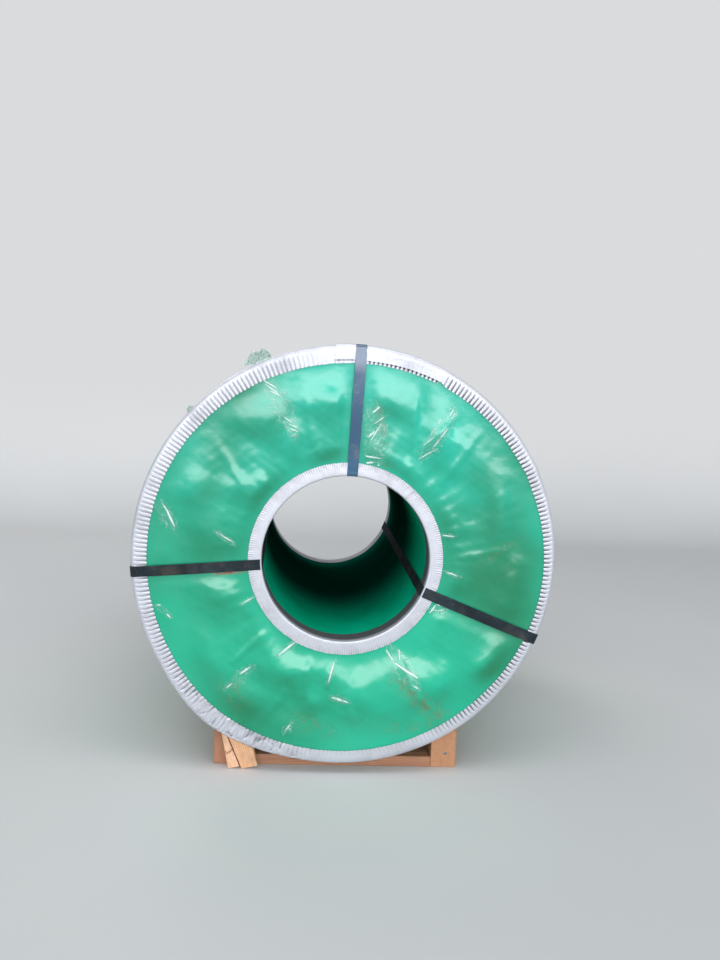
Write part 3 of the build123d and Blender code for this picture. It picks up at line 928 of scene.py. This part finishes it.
def film_tuft(name, angle, tall, wide, deep, tip, seed):
    """Tuft of clear film that sticks up from under the edge ring: a patch that stands on the ring,
    leans forwards and back in deep crumples, and runs out to a tip at one corner."""
    u = np.linspace(-0.5, 0.5, 44)[:, None]
    v = np.linspace(0, 1, 34)[None, :]
    crown = 1 - np.abs(2 * u) ** 3 * 0.75
    up = v * tall * np.clip(crown * (1 + 0.5 * waves(u, 0 * v, 0.35, seed)), 0.15, 1.25)
    s = u * wide + tip * v**2 * rise(u, 0.15, 0.5) + wide * 0.10 * waves(u * 2, v, 0.9, seed + 1) * v
    crumples = crumple(u, v, 0.42, seed + 2)
    station = ring_face - tuft_setback - deep * (0.55 * crumples * rise(v, 0, 0.25) - 0.4 * v)
    radius = ring_radius + tuft_gap + up
    outside = around(angle + s / ring_radius, radius, station)
    inside = around(angle + s / ring_radius, radius, station - tuft_wall)
    # The crumples' ridges, which the film's material paints white as glints on whitened film.
    crease = np.clip((crumples - 0.3) / 0.6, 0, 1)
    tuft = sheet_of(name, outside, inside, shares={"crease": crease}, material=loose_film, smooth_below=60)


# Materials


class Shader:
    """A node tree with short calls to add a node and to join sockets. Without a tree of its own it makes
    a material, whose surface is its skin. Inputs are given by name, with underscores for spaces."""

    def __init__(self, name, tree=None):
        if tree is None:
            self.material = bpy.data.materials.new(name)
            self.material.use_nodes = True
            tree = self.material.node_tree
            self.skin = tree.nodes["Principled BSDF"]
        self.tree = tree

    def feed(self, socket, value):
        """Links an output to a socket, or sets the socket's own value."""
        if isinstance(value, bpy.types.NodeSocket):
            self.tree.links.new(value, socket)
        else:
            socket.default_value = value

    def fill(self, node, **inputs):
        for key, value in inputs.items():
            self.feed(node.inputs[key.replace("_", " ")], value)
        return node

    def dress(self, **inputs):
        self.fill(self.skin, **inputs)

    def add(self, kind, _settings=None, **inputs):
        """A node of a kind, with settings as attributes."""
        node = self.tree.nodes.new("ShaderNode" + kind)
        for key, value in (_settings or {}).items():
            setattr(node, key, value)
        return self.fill(node, **inputs)

    def group(self, group, **inputs):
        """The outputs of a shared effect."""
        return self.add("Group", {"node_tree": group}, **inputs).outputs

    def maths(self, operation, a, b=0.0, clamp=False):
        node = self.add("Math", {"operation": operation, "use_clamp": clamp})
        self.feed(node.inputs[0], a)
        self.feed(node.inputs[1], b)
        return node.outputs[0]

    def times(self, a, b, clamp=False):
        return self.maths("MULTIPLY", a, b, clamp)

    def plus(self, a, b):
        return self.maths("ADD", a, b)

    def length(self, a, b):
        """Square root of the sum of the two squares."""
        return self.maths("SQRT", self.plus(self.maths("POWER", a, 2.0), self.maths("POWER", b, 2.0)))

    def noise(self, vector, scale, detail=4.0, roughness=0.55, distortion=0.0):
        return self.add(
            "TexNoise", Vector=vector, Scale=scale, Detail=detail, Roughness=roughness, Distortion=distortion
        ).outputs["Fac"]

    def stretch(self, vector, scale, rotation=(0, 0, 0)):
        return self.add("Mapping", Vector=vector, Scale=scale, Rotation=rotation).outputs[0]

    def ramp(self, value, low, high):
        """0 below low and 1 above high, smooth between."""
        smooth = {"interpolation_type": "SMOOTHSTEP"}
        return self.add("MapRange", smooth, Value=value, From_Min=low, From_Max=high).outputs[0]

    def mix(self, share, a, b):
        node = self.add("Mix", {"data_type": "RGBA"})
        self.feed(node.inputs[0], share)
        self.feed(node.inputs[6], a)
        self.feed(node.inputs[7], b)
        return node.outputs[2]

    def place(self):
        return self.add("TexCoord").outputs["Object"]

    def parts(self, vector):
        return self.add("SeparateXYZ", Vector=vector).outputs

    def axis_distance(self, place):
        across, _, up = self.parts(place)
        return self.length(across, self.maths("SUBTRACT", up, axis_z))

    def share(self, name, kind="Fac"):
        """Values that the piece carries for each point."""
        return self.add("Attribute", {"attribute_name": name}).outputs[kind]

    def bump(self, height, distance, strength=1.0):
        relief = self.add("Bump", Height=height, Distance=distance, Strength=strength)
        self.dress(Normal=relief.outputs[0])

    def seen(self):
        """1 for what the camera sees, straight, mirrored or through film, and 0 for light."""
        ray = self.add("LightPath").outputs
        seen = self.maths("MAXIMUM", ray["Is Camera Ray"], ray["Is Glossy Ray"])
        return self.maths("MAXIMUM", seen, ray["Is Transmission Ray"])


def paint(red, green, blue):
    """Linear colour from sRGB steps of 0 to 255."""
    share = np.array([red, green, blue]) / 255
    linear = np.where(share <= 0.04045, share / 12.92, ((share + 0.055) / 1.055) ** 2.4)
    return (*linear.tolist(), 1.0)


def effect(name, inputs, outputs):
    """An empty node group with named inputs (kind, default) and outputs (kind). Gives the group, the
    sockets that its inputs come in by and the node that its outputs leave by."""
    group = bpy.data.node_groups.new(name, "ShaderNodeTree")
    for key, (kind, default) in inputs.items():
        socket = group.interface.new_socket(key, in_out="INPUT", socket_type="NodeSocket" + kind)
        socket.default_value = default
    for key, kind in outputs.items():
        group.interface.new_socket(key, in_out="OUTPUT", socket_type="NodeSocket" + kind)
    return group, group.nodes.new("NodeGroupInput").outputs, group.nodes.new("NodeGroupOutput")


def dust_effect():
    """Dust and dirt: soft patches and a fine speckle over a colour."""
    group, given, result = effect(
        "dust",
        {
            "Color": ("Color", (0.5, 0.5, 0.5, 1)),
            "Dust": ("Color", (0.4, 0.36, 0.3, 1)),
            "Amount": ("Float", 0.3),
            "Size": ("Float", 6.0),
        },
        {"Color": "Color", "Mask": "Float"},
    )
    s = Shader("", group)
    place = s.place()
    patches = s.ramp(s.noise(place, given["Size"], 6.0, 0.6), 0.45, 0.75)
    speckle = s.ramp(s.noise(place, 260.0, 2.0, 0.5), 0.5, 0.7)
    film = s.plus(patches, s.times(speckle, 0.35))
    mask = s.times(film, given["Amount"], True)
    s.fill(result, Color=s.mix(mask, given["Color"], given["Dust"]), Mask=mask)
    return group


def scuff_effect():
    """Scuffs: thin broken scratches in two headings, as a mask and a height."""
    group, given, result = effect("scuffs", {"Scale": ("Float", 1.0)}, {"Mask": "Float", "Height": "Float"})
    s = Shader("", group)
    place = s.place()
    masks = []
    for turn in (0.4, -0.9):
        lined = s.stretch(place, (9.0, 9.0, 420.0), rotation=(turn, turn, 0.3))
        lines = s.ramp(s.noise(lined, given["Scale"], 2.0, 0.5), 0.66, 0.74)
        masks.append(s.times(lines, s.ramp(s.noise(place, 7.0, 3.0, 0.5), 0.5, 0.62)))
    mask = s.maths("MAXIMUM", *masks)
    s.fill(result, Mask=mask, Height=s.times(mask, -1.0))
    return group


def ripple_effect():
    """Ripples of slack plastic sheet: soft noise at three sizes, the finest only in patches."""
    group, given, result = effect("ripples", {"Scale": ("Float", 1.0)}, {"Height": "Float"})
    s = Shader("", group)
    place = s.place()
    broad = s.noise(place, s.times(given["Scale"], 16.0), 1.0, 0.4, 0.4)
    middling = s.noise(place, s.times(given["Scale"], 42.0), 1.0, 0.4, 0.4)
    patch = s.ramp(s.noise(place, 8.0, 2.0, 0.5), 0.56, 0.68)
    fine = s.times(patch, s.noise(place, 150.0, 2.0, 0.5, 0.8))
    s.fill(result, Height=s.plus(s.plus(broad, s.times(middling, 0.30)), s.times(fine, 0.16)))
    return group


def wood_effect():
    """Sawn wood from the piece's own wood coordinates, the first of which runs along the grain: growth
    rings are bands of the distance to the pith, pores are fine streaks, saw marks cross the grain."""
    group, given, result = effect(
        "wood",
        {
            "Early": ("Color", (0.5, 0.3, 0.15, 1)),
            "Late": ("Color", (0.3, 0.15, 0.06, 1)),
            "Stain": ("Color", (0.1, 0.07, 0.05, 1)),
            "Ring Scale": ("Float", 150.0),
        },
        {"Color": "Color", "Height": "Float", "Roughness": "Float"},
    )
    s = Shader("", group)
    wood = s.share("wood", "Vector")
    _, beside_pith, above_pith = s.parts(wood)
    warp = s.noise(s.stretch(wood, (2.0, 14.0, 14.0)), 1.0, 3.0, 0.5)
    across = s.plus(s.length(beside_pith, above_pith), s.times(warp, 0.02))
    band = s.maths("FRACT", s.times(across, given["Ring Scale"]))
    late = s.times(s.ramp(band, 0.35, 0.9), s.ramp(band, 1.0, 0.93))
    pores = s.noise(s.stretch(wood, (18.0, 700.0, 700.0)), 1.0, 3.0, 0.6)
    streak = s.noise(s.stretch(wood, (3.0, 60.0, 60.0)), 1.0, 4.0, 0.6)
    saw = s.noise(s.stretch(wood, (380.0, 14.0, 14.0)), 1.0, 2.0, 0.5)
    base = s.mix(s.times(late, 0.65), given["Early"], given["Late"])
    base = s.mix(s.times(s.ramp(streak, 0.4, 0.75), 0.45), base, given["Late"])
    base = s.mix(s.times(s.ramp(pores, 0.52, 0.7), 0.35), base, given["Stain"])
    blotch = s.ramp(s.noise(wood, 9.0, 5.0, 0.65), 0.55, 0.8)
    base = s.mix(s.times(blotch, 0.4), base, given["Stain"])
    height = s.plus(s.plus(s.times(saw, 0.6), s.times(pores, 0.8)), s.times(late, 0.25))
    s.fill(result, Color=base, Height=height, Roughness=s.times(pores, 0.2))
    return group


dust = dust_effect()
scuffs = scuff_effect()
ripples = ripple_effect()
wood_grain = wood_effect()


def green_sheet_material():
    """Glossy green plastic sheet: cloudy colour with painted shade where the face looks down and towards
    both sides of the coil, and painted light higher up, with dust, olive dirt in streaks and soft ripples."""
    s = Shader("green film")
    place = s.place()
    cloud = s.noise(place, 2.6, 2.0, 0.45)
    # Painted shade: darker where the face looks down.
    cloud = s.plus(cloud, s.times(s.share("down_facing_shade"), -0.34))
    across, _, up = s.parts(place)
    # Painted shade towards both sides of the coil.
    sideways = s.maths("ABSOLUTE", s.maths("SUBTRACT", across, 0.05))
    cloud = s.plus(cloud, s.times(s.ramp(sideways, 0.20, 0.50), -0.26))
    # Painted light: the green is lighter higher up.
    top_lit_green = s.mix(s.ramp(up, 0.45, 1.15), paint(0, 180, 142), paint(8, 192, 166))
    green = s.mix(s.ramp(cloud, -0.10, 0.46), paint(0, 122, 80), top_lit_green)
    small = s.ramp(s.noise(place, 15.0, 5.0, 0.6), 0.45, 0.8)
    green = s.mix(s.times(small, 0.16), green, paint(20, 186, 152))
    worn = s.group(dust, Color=green, Dust=paint(96, 134, 88), Amount=0.10, Size=5.0)
    dirt = s.share("dirt")
    uneven = s.ramp(s.noise(place, 34.0, 6.0, 0.7), 0.38, 0.66)
    grimy = s.times(s.times(dirt, uneven), 0.75, True)
    soil = s.mix(s.ramp(dirt, 1.0, 1.8), paint(116, 104, 52), paint(150, 66, 36))
    rough = s.plus(s.plus(0.21, s.times(worn["Mask"], 0.6)), s.times(grimy, 0.4))
    s.dress(Base_Color=s.mix(grimy, worn["Color"], soil), Roughness=rough, Specular_IOR_Level=0.72)
    s.bump(s.group(ripples, Scale=1.0)["Height"], 0.0020, 0.7)
    return s.material


def dull_sheet_material():
    """The sheet down the eye: the same green, dusty, with less gloss, with painted shade towards the middle.
    """
    s = Shader("dull green film")
    place = s.place()
    green = s.mix(s.ramp(s.noise(place, 5.0, 4.0, 0.6), 0.3, 0.7), paint(0, 168, 126), paint(6, 184, 142))
    along = s.parts(place)[1]
    # Painted shade: darker deeper inside the eye.
    inside = s.times(s.ramp(along, -0.44, 0.02), s.ramp(along, 0.75, 0.40))
    green = s.mix(s.times(inside, 0.93), green, paint(2, 34, 30))
    worn = s.group(dust, Color=green, Dust=paint(40, 96, 70), Amount=0.05, Size=9.0)
    s.dress(Base_Color=worn["Color"], Roughness=0.8, Specular_IOR_Level=0.0)
    s.bump(s.group(ripples, Scale=1.3)["Height"], 0.0015, 0.6)
    return s.material


def clear_film_material(name, least, more):
    """Clear wrapping film: nearly invisible where flat, white along parts of its creases: whitened film with
    painted glints.
    """
    s = Shader(name)
    place = s.place()
    # Painted glints with whitened film: white along parts of the creases.
    milk_and_glint = s.times(s.share("crease"), s.ramp(s.noise(place, 40.0, 3.0, 0.6, 0.8), 0.25, 0.50))
    s.dress(Base_Color=s.mix(milk_and_glint, paint(150, 216, 194), paint(236, 250, 246)))
    s.dress(Roughness=0.22, Specular_IOR_Level=0.8, Coat_Weight=0.6, Coat_Roughness=0.10)
    s.dress(Alpha=s.plus(least, s.times(milk_and_glint, more)))
    s.bump(s.noise(place, 60.0, 1.0, 0.4), 0.0004, 0.4)
    return s.material


def edge_ring_material():
    """Thin galvanised sheet: pale lavender grey with a soft spangle, painted shade and dirt in the pleats,
    and scuffs.
    """
    s = Shader("galvanised sheet")
    place = s.place()
    spangle = s.add("TexVoronoi", {"feature": "F1"}, Vector=place, Scale=240.0).outputs["Color"]
    tone = s.add("SeparateColor", Color=spangle).outputs[0]
    grey = s.mix(s.times(tone, 0.3), paint(208, 211, 219), paint(188, 191, 201))
    cloud = s.ramp(s.noise(place, 16.0, 5.0, 0.6), 0.45, 0.8)
    grey = s.mix(s.times(cloud, 0.3), grey, paint(160, 160, 168))
    worn = s.group(dust, Color=grey, Dust=paint(116, 112, 106), Amount=0.22, Size=9.0)
    marks = s.group(scuffs, Scale=1.0)
    scuffed = s.mix(s.times(marks["Mask"], 0.4), worn["Color"], paint(238, 238, 242))
    # Darkened by the rings' share of dirt and painted shade.
    dark = s.times(s.ramp(s.share("grime_and_shade"), 0.10, 0.95), 0.90)
    rough = s.plus(s.plus(0.38, s.times(tone, 0.08)), s.times(dark, 0.3))
    rough = s.plus(rough, s.times(worn["Mask"], 0.5))
    s.dress(Base_Color=s.mix(dark, scuffed, paint(44, 46, 50)), Metallic=0.5, Roughness=rough)
    s.bump(s.plus(s.noise(place, 130.0, 3.0, 0.5), marks["Height"]), 0.0003, 0.6)
    return s.material


def lacquer_material(name, colour, worn_colour, rust, gloss, roughness):
    """Lacquered steel strap: colour that shifts along it, rubbed patches, scuffs and a little rust. Down
    the eye it is dull."""
    s = Shader(name)
    place = s.place()
    base = s.mix(s.ramp(s.noise(place, 7.0, 4.0, 0.6), 0.35, 0.7), colour, worn_colour)
    marks = s.group(scuffs, Scale=1.4)
    base = s.mix(s.times(marks["Mask"], 0.35), base, paint(120, 126, 134))
    spots = s.ramp(s.noise(place, 60.0, 5.0, 0.7), 0.66, 0.74)
    base = s.mix(s.times(spots, rust), base, paint(96, 58, 34))
    worn = s.group(dust, Color=base, Dust=paint(120, 112, 100), Amount=0.25, Size=12.0)
    dull = s.times(s.ramp(s.axis_distance(place), eye_radius + 0.02, eye_radius), 0.5)
    rough = s.plus(s.plus(dull, s.times(worn["Mask"], 0.5)), roughness)
    s.dress(Base_Color=worn["Color"], Roughness=rough, Specular_IOR_Level=gloss)
    s.bump(s.plus(s.noise(place, 180.0, 3.0, 0.6), marks["Height"]), 0.0001, 0.5)
    return s.material


def seal_material():
    """Plain galvanised seal with scuffs and spots of rust."""
    s = Shader("seal steel")
    place = s.place()
    grey = s.mix(s.ramp(s.noise(place, 90.0, 4.0, 0.6), 0.4, 0.7), paint(150, 152, 156), paint(112, 112, 114))
    rust = s.ramp(s.noise(place, 140.0, 5.0, 0.7), 0.58, 0.7)
    grey = s.mix(s.times(rust, 0.7), grey, paint(110, 70, 42))
    marks = s.group(scuffs, Scale=2.0)
    s.dress(Base_Color=s.mix(s.times(marks["Mask"], 0.5), grey, paint(205, 205, 208)))
    s.dress(Metallic=0.7, Roughness=s.plus(0.35, s.times(marks["Mask"], 0.1)))
    s.bump(s.plus(s.noise(place, 400.0, 3.0, 0.6), marks["Height"]), 0.0001, 0.4)
    return s.material


def strip_material():
    """The wound strip: fine rings of the turns' edges on the ends, as noise over the distance to the
    axis."""
    s = Shader("strip steel")
    line = s.add("CombineXYZ", X=s.times(s.axis_distance(s.place()), 900.0)).outputs[0]
    turns = s.noise(line, 1.0, 4.0, 0.7)
    base = s.mix(turns, paint(112, 113, 117), paint(196, 197, 200))
    s.dress(Base_Color=base, Metallic=0.9, Roughness=s.plus(0.28, s.times(turns, 0.2)))
    s.bump(turns, 0.0004, 0.7)
    return s.material


def timber_material(name, early, late, stain, ring_scale, roughness):
    """Rough-sawn timber in the given colours, darker towards the stain where a piece's share is high, as
    along a crack.
    """
    s = Shader(name)
    wood = s.group(wood_grain, Early=early, Late=late, Stain=stain, Ring_Scale=ring_scale)
    worn = s.group(dust, Color=wood["Color"], Dust=paint(120, 104, 88), Amount=0.3, Size=14.0)
    colour = s.mix(s.times(s.share("grime_and_shade"), 0.8), worn["Color"], stain)
    s.dress(Base_Color=colour, Roughness=s.plus(roughness, wood["Roughness"]), Specular_IOR_Level=0.3)
    s.bump(wood["Height"], 0.0006, 0.9)
    return s.material


green_film = green_sheet_material()
dull_film = dull_sheet_material()
clear_film = clear_film_material("clear film", 0.06, 0.90)
loose_film = clear_film_material("loose film", 0.30, 0.60)
edge_ring = edge_ring_material()
blue_strap = lacquer_material("blue lacquer", paint(4, 72, 108), paint(10, 94, 132), 0.2, 1.0, 0.20)
black_strap = lacquer_material("black lacquer", paint(25, 35, 41), paint(42, 53, 60), 0.4, 0.10, 0.40)
strap_seal = seal_material()
strip_steel = strip_material()

# Timber colours: early wood, late wood, stain, growth rings in a metre, roughness
brown_wood = timber_material(
    "brown hardwood", paint(186, 138, 108), paint(150, 100, 74), paint(98, 66, 50), 230.0, 0.6
)
tan_wood = timber_material(
    "tan softwood", paint(203, 153, 115), paint(174, 117, 81), paint(128, 82, 56), 190.0, 0.58
)
orange_wood = timber_material(
    "orange softwood", paint(240, 194, 154), paint(218, 158, 112), paint(164, 108, 70), 170.0, 0.58
)
pale_wood = timber_material(
    "pale softwood", paint(244, 200, 166), paint(220, 166, 128), paint(156, 106, 76), 210.0, 0.58
)

# Assembly


def packed_strap(label, angle):
    """Strap through the eye with its seal, a sheet further out where it crosses the rings' laps."""
    lift = ring_sheet if lap_tail < angle < lap_head else 0.0
    lacquer = (blue_strap, "blue_strap") if label == "top" else (black_strap, "black_strap")
    eye_strap("strap_" + label, angle, lift, *lacquer)
    low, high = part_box("eye_seal_" + label)
    station = -(low[1] + high[1]) / 2

    def on_strap(along, across, height):
        radius = ring_radius + lift + strap_gap + height
        return around(angle + across / radius, radius, station + along + 0 * across)

    seal("seal_" + label, "eye_seal_" + label, on_strap)


def packed_hoop(number):
    """Strap round the outside with its seal."""
    low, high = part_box(f"hoop_strap_{number}")
    station = -(low[1] + high[1]) / 2
    hoop_strap(f"hoop_{number}", station, f"hoop_strap_{number}")
    low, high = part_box(f"hoop_seal_{number}")
    middle = math.atan2((low[2] + high[2]) / 2 - axis_z, (low[0] + high[0]) / 2)

    def on_hoop(along, across, height):
        radius = hoop_radius - strap_sheet + height
        return around(middle + along / hoop_radius + 0 * across, radius, station + across)

    seal(f"hoop_clip_{number}", f"hoop_seal_{number}", on_hoop)


def bearer(label, seed, material):
    """Timber along the coil, its top sawn to the slope of the coil over it."""
    low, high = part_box("bearer_" + label)
    side = 1 if label == "right" else -1
    inner, outer = sorted([abs(low[0]), abs(high[0])])
    seat = math.asin((inner + outer) / 2 / (hoop_radius + seat_slack))
    drop = (outer - inner) * math.tan(seat)
    outline = [(inner, 0.0), (outer, 0.0), (outer, high[2]), (inner, high[2] - drop)]
    pith = (0.03 - inner, 0.02)

    def lift(p):
        return np.stack([side * p[:, 0], p[:, 2], p[:, 1]], axis=-1)

    timber("bearer_" + label, outline, (low[1], high[1]), lift, pith, 0.012, material, seed)


def crossboard(label, seed):
    """Board flat on the floor between the bearers."""
    low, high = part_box("crossboard_" + label)
    outline = [(low[1], 0.0), (high[1], 0.0), (high[1], high[2]), (low[1], high[2])]
    pith = (-(low[1] + high[1]) / 2, 0.05)

    def lift(p):
        return np.stack([p[:, 2], p[:, 0], p[:, 1]], axis=-1)

    timber("crossboard_" + label, outline, (low[0], high[0]), lift, pith, 0.010, brown_wood, seed)


coil_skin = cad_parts["steel_coil"].data.materials
coil_skin.clear()
coil_skin.append(strip_steel)

end_cover("cover_front", 1, front_seed, front_bulges, front_folds, front_streaks, 520, 82)
end_cover("cover_rear", -1, 12, front_bulges[::-2], front_folds[::3], front_streaks[3:], 300, 48)
outer_wrap()
bore_liner()
outer_ring("rim_front", 1, 21, pleat_stops)
outer_ring("rim_rear", -1, 22, rear_pleat_stops)
inner_ring("hub_front", 1, 23, 4, 0.85)
inner_ring("hub_rear", -1, 24, 3, 0.55)
for label, angle in strap_angles.items():
    packed_strap(label, angle)
for number in (1, 2):
    packed_hoop(number)
bearer("left", 71, brown_wood)
bearer("right", 74, tan_wood)
for seed, label in enumerate(("front", "middle", "rear"), 81):
    crossboard(label, seed)

# The boards at the left bearer's end: heel across from the axis, foot width, the leans of the left and
# right sides in degrees, timber, place of the pith, seed
chock("chock_wide", -0.290, 0.050, 23.0, 15.0, orange_wood, (0.02, 0.22), 91)
chock("chock_narrow", -0.331, 0.035, 11.7, 23.0, pale_wood, (0.03, 0.27), 92, crack=(0.40, 0.10))
nail("nail_right", (0.346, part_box("bearer_right")[0][1] + 0.0012, 0.046), 0.0060, 2)

# Strips of clear film on the front cover: name, width, seed, and the places that each line runs through
film_strips = [
    ("left", 0.056, 101, [(-0.268, 0.535), (-0.232, 0.490), (-0.198, 0.430), (-0.160, 0.352)]),
    ("top", 0.070, 102, [(0.058, 0.480), (0.070, 0.400), (0.068, 0.276)]),
    ("right", 0.052, 103, [(0.302, 0.470), (0.262, 0.390), (0.200, 0.305)]),
    ("low_right", 0.056, 104, [(0.140, -0.255), (0.176, -0.315), (0.242, -0.392)]),
    ("low_middle", 0.020, 105, [(-0.016, -0.303), (-0.042, -0.384)]),
    ("low_left", 0.026, 106, [(-0.130, -0.246), (-0.200, -0.302)]),
    ("far_left", 0.036, 107, [(-0.258, -0.326), (-0.350, -0.408)]),
    ("side", 0.022, 108, [(-0.394, 0.080), (-0.324, 0.032)]),
    ("eye_right", 0.036, 109, [(0.252, -0.146), (0.320, -0.138)]),
    ("eye_upper", 0.015, 113, [(0.276, 0.085), (0.330, 0.083)]),
    ("eye_lower", 0.016, 114, [(0.292, -0.025), (0.350, -0.040)]),
    ("eye_left", 0.015, 115, [(-0.314, -0.148), (-0.260, -0.115)]),
    ("bottom", 0.024, 116, [(-0.170, -0.545), (-0.135, -0.498)]),
    ("low_centre", 0.026, 117, [(-0.036, -0.417), (0.034, -0.435)]),
    ("edge", 0.046, 118, [(-0.556, 0.160), (-0.538, 0.120), (-0.503, 0.074)]),
    ("edge_low", 0.024, 119, [(-0.558, -0.150), (-0.505, -0.192)]),
]
for label, width, seed, path in film_strips:
    film_strip("tape_" + label, path, width, seed)
film_tuft("tuft", math.radians(115.2), 0.028, 0.054, 0.022, 0.022, 111)
film_tuft("tuft_small", math.radians(138.0), 0.010, 0.022, 0.008, 0.004, 112)

# Stage, light and camera

backdrop = (0.70, 0.71, 0.72, 1)
sweep_front = -14.0
sweep_back = 5.0
sweep_bend = 1.6
sweep_top = 7.0
sweep_half_width = 12.0


def stage_material():
    """Pale floor that keeps shadows, and above it a pale backdrop that lights nothing but shows itself to
    the camera, in glossy surfaces and through film."""
    s = Shader("pale stage")
    shade = s.noise(s.place(), 1.2, 2.0, 0.5)
    s.dress(Base_Color=s.mix(shade, (0.62, 0.62, 0.61, 1), (0.67, 0.67, 0.66, 1)))
    s.dress(Roughness=0.85)
    pale = s.add("Emission", Color=backdrop, Strength=s.seen())
    mixer = s.add("MixShader", Fac=s.ramp(s.parts(s.place())[2], 0.02, 1.1))
    s.feed(mixer.inputs[1], s.skin.outputs[0])
    s.feed(mixer.inputs[2], pale.outputs[0])
    s.fill(s.tree.nodes["Material Output"], Surface=mixer.outputs[0])
    return s.material


def stage_sweep():
    """Floor that curves up into a backdrop: a line from in front of the object, a quarter circle, and a
    line up, carried sideways."""
    turn = np.linspace(0, np.pi / 2, 24)
    back = sweep_back + sweep_bend * (np.sin(turn) - 1)
    along = np.concatenate([[sweep_front], back, [sweep_back]])
    height = np.concatenate([[0.0], sweep_bend * (1 - np.cos(turn)), [sweep_top]])
    side = np.array([-sweep_half_width, sweep_half_width])
    points = np.stack(np.broadcast_arrays(side[None, :], along[:, None], height[:, None]), axis=-1)
    mesh = bpy.data.meshes.new("sweep")
    mesh.from_pydata(points.reshape(-1, 3).tolist(), [], grid_faces(len(along), 2).tolist())
    mesh.polygons.foreach_set("use_smooth", np.ones(len(mesh.polygons), dtype=bool))
    mesh.materials.append(stage_material())
    sweep = bpy.data.objects.new("sweep", mesh)
    bpy.context.collection.objects.link(sweep)


def aimed(place, target):
    """Turn that points an object's -Z axis from place to target, with Y up."""
    forward = np.asarray(target, dtype=float) - np.asarray(place, dtype=float)
    forward /= np.linalg.norm(forward)
    right = np.cross(forward, [0, 0, 1])
    right /= np.linalg.norm(right)
    return turned_matrix(place, right, np.cross(right, forward), -forward)


def turned_matrix(place, right, up, back):
    """Matrix with the three directions and the place as its columns."""
    matrix = np.eye(4)
    matrix[:3, 0], matrix[:3, 1], matrix[:3, 2], matrix[:3, 3] = right, up, back, place
    return Matrix(matrix.tolist())


def soft_light(name, place, target, size, power, colour=(1, 1, 1)):
    """Oblong area light at a place, aimed at a target."""
    data = bpy.data.lights.new(name, "AREA")
    data.shape, data.size, data.size_y, data.energy, data.color = "RECTANGLE", *size, power, colour
    light = bpy.data.objects.new(name, data)
    light.matrix_world = aimed(place, target)
    bpy.context.collection.objects.link(light)


def camera():
    """Camera at the photograph's place: yaw to the right of +Y, pitch down, roll about the view."""
    place = np.array([-0.180, -3.322, 1.2267])
    yaw, pitch, roll = np.radians([4.43, 6.615, 2.76])
    forward = np.array([math.sin(yaw) * math.cos(pitch), math.cos(yaw) * math.cos(pitch), -math.sin(pitch)])
    level = np.cross(forward, [0, 0, 1])
    level /= np.linalg.norm(level)
    upright = np.cross(level, forward)
    right = level * math.cos(roll) + upright * math.sin(roll)
    up = upright * math.cos(roll) - level * math.sin(roll)
    data = bpy.data.cameras.new("camera")
    data.lens, data.sensor_width = 34.755, 36.0
    eye = bpy.data.objects.new("camera", data)
    eye.matrix_world = turned_matrix(place, right, up, -forward)
    bpy.context.collection.objects.link(eye)
    bpy.context.scene.camera = eye


def surroundings():
    """Daylight that comes in from the front: a dim world, brighter ahead of the coil above the horizon.
    It shows as the pale backdrop."""
    world = bpy.data.worlds.new("daylight")
    world.use_nodes = True
    s = Shader("", world.node_tree)
    _, back, up = s.parts(s.add("TexCoord").outputs["Generated"])
    sky = s.times(s.ramp(s.times(back, -1.0), -0.15, 0.5), s.ramp(up, 0.02, 0.22))
    daylight = s.mix(sky, (0.22, 0.24, 0.27, 1), (0.70, 0.75, 0.81, 1))
    s.fill(world.node_tree.nodes["Background"], Color=s.mix(s.seen(), daylight, backdrop))
    bpy.context.scene.world = world


stage_sweep()
soft_light("open_sky", (0.4, -20.0, 5.6), (0.0, -0.6, 0.7), (26.0, 6.4), 2700, (0.98, 0.97, 1.0))
soft_light("high_sky", (0.3, -3.2, 7.6), (0.0, -0.4, 0.6), (7.0, 3.6), 200)
soft_light("rear", (-2.4, 3.6, 4.4), (0.0, 0.4, 0.6), (2.6, 2.6), 60)
camera()
surroundings()
bpy.context.scene.view_settings.view_transform = "Standard"
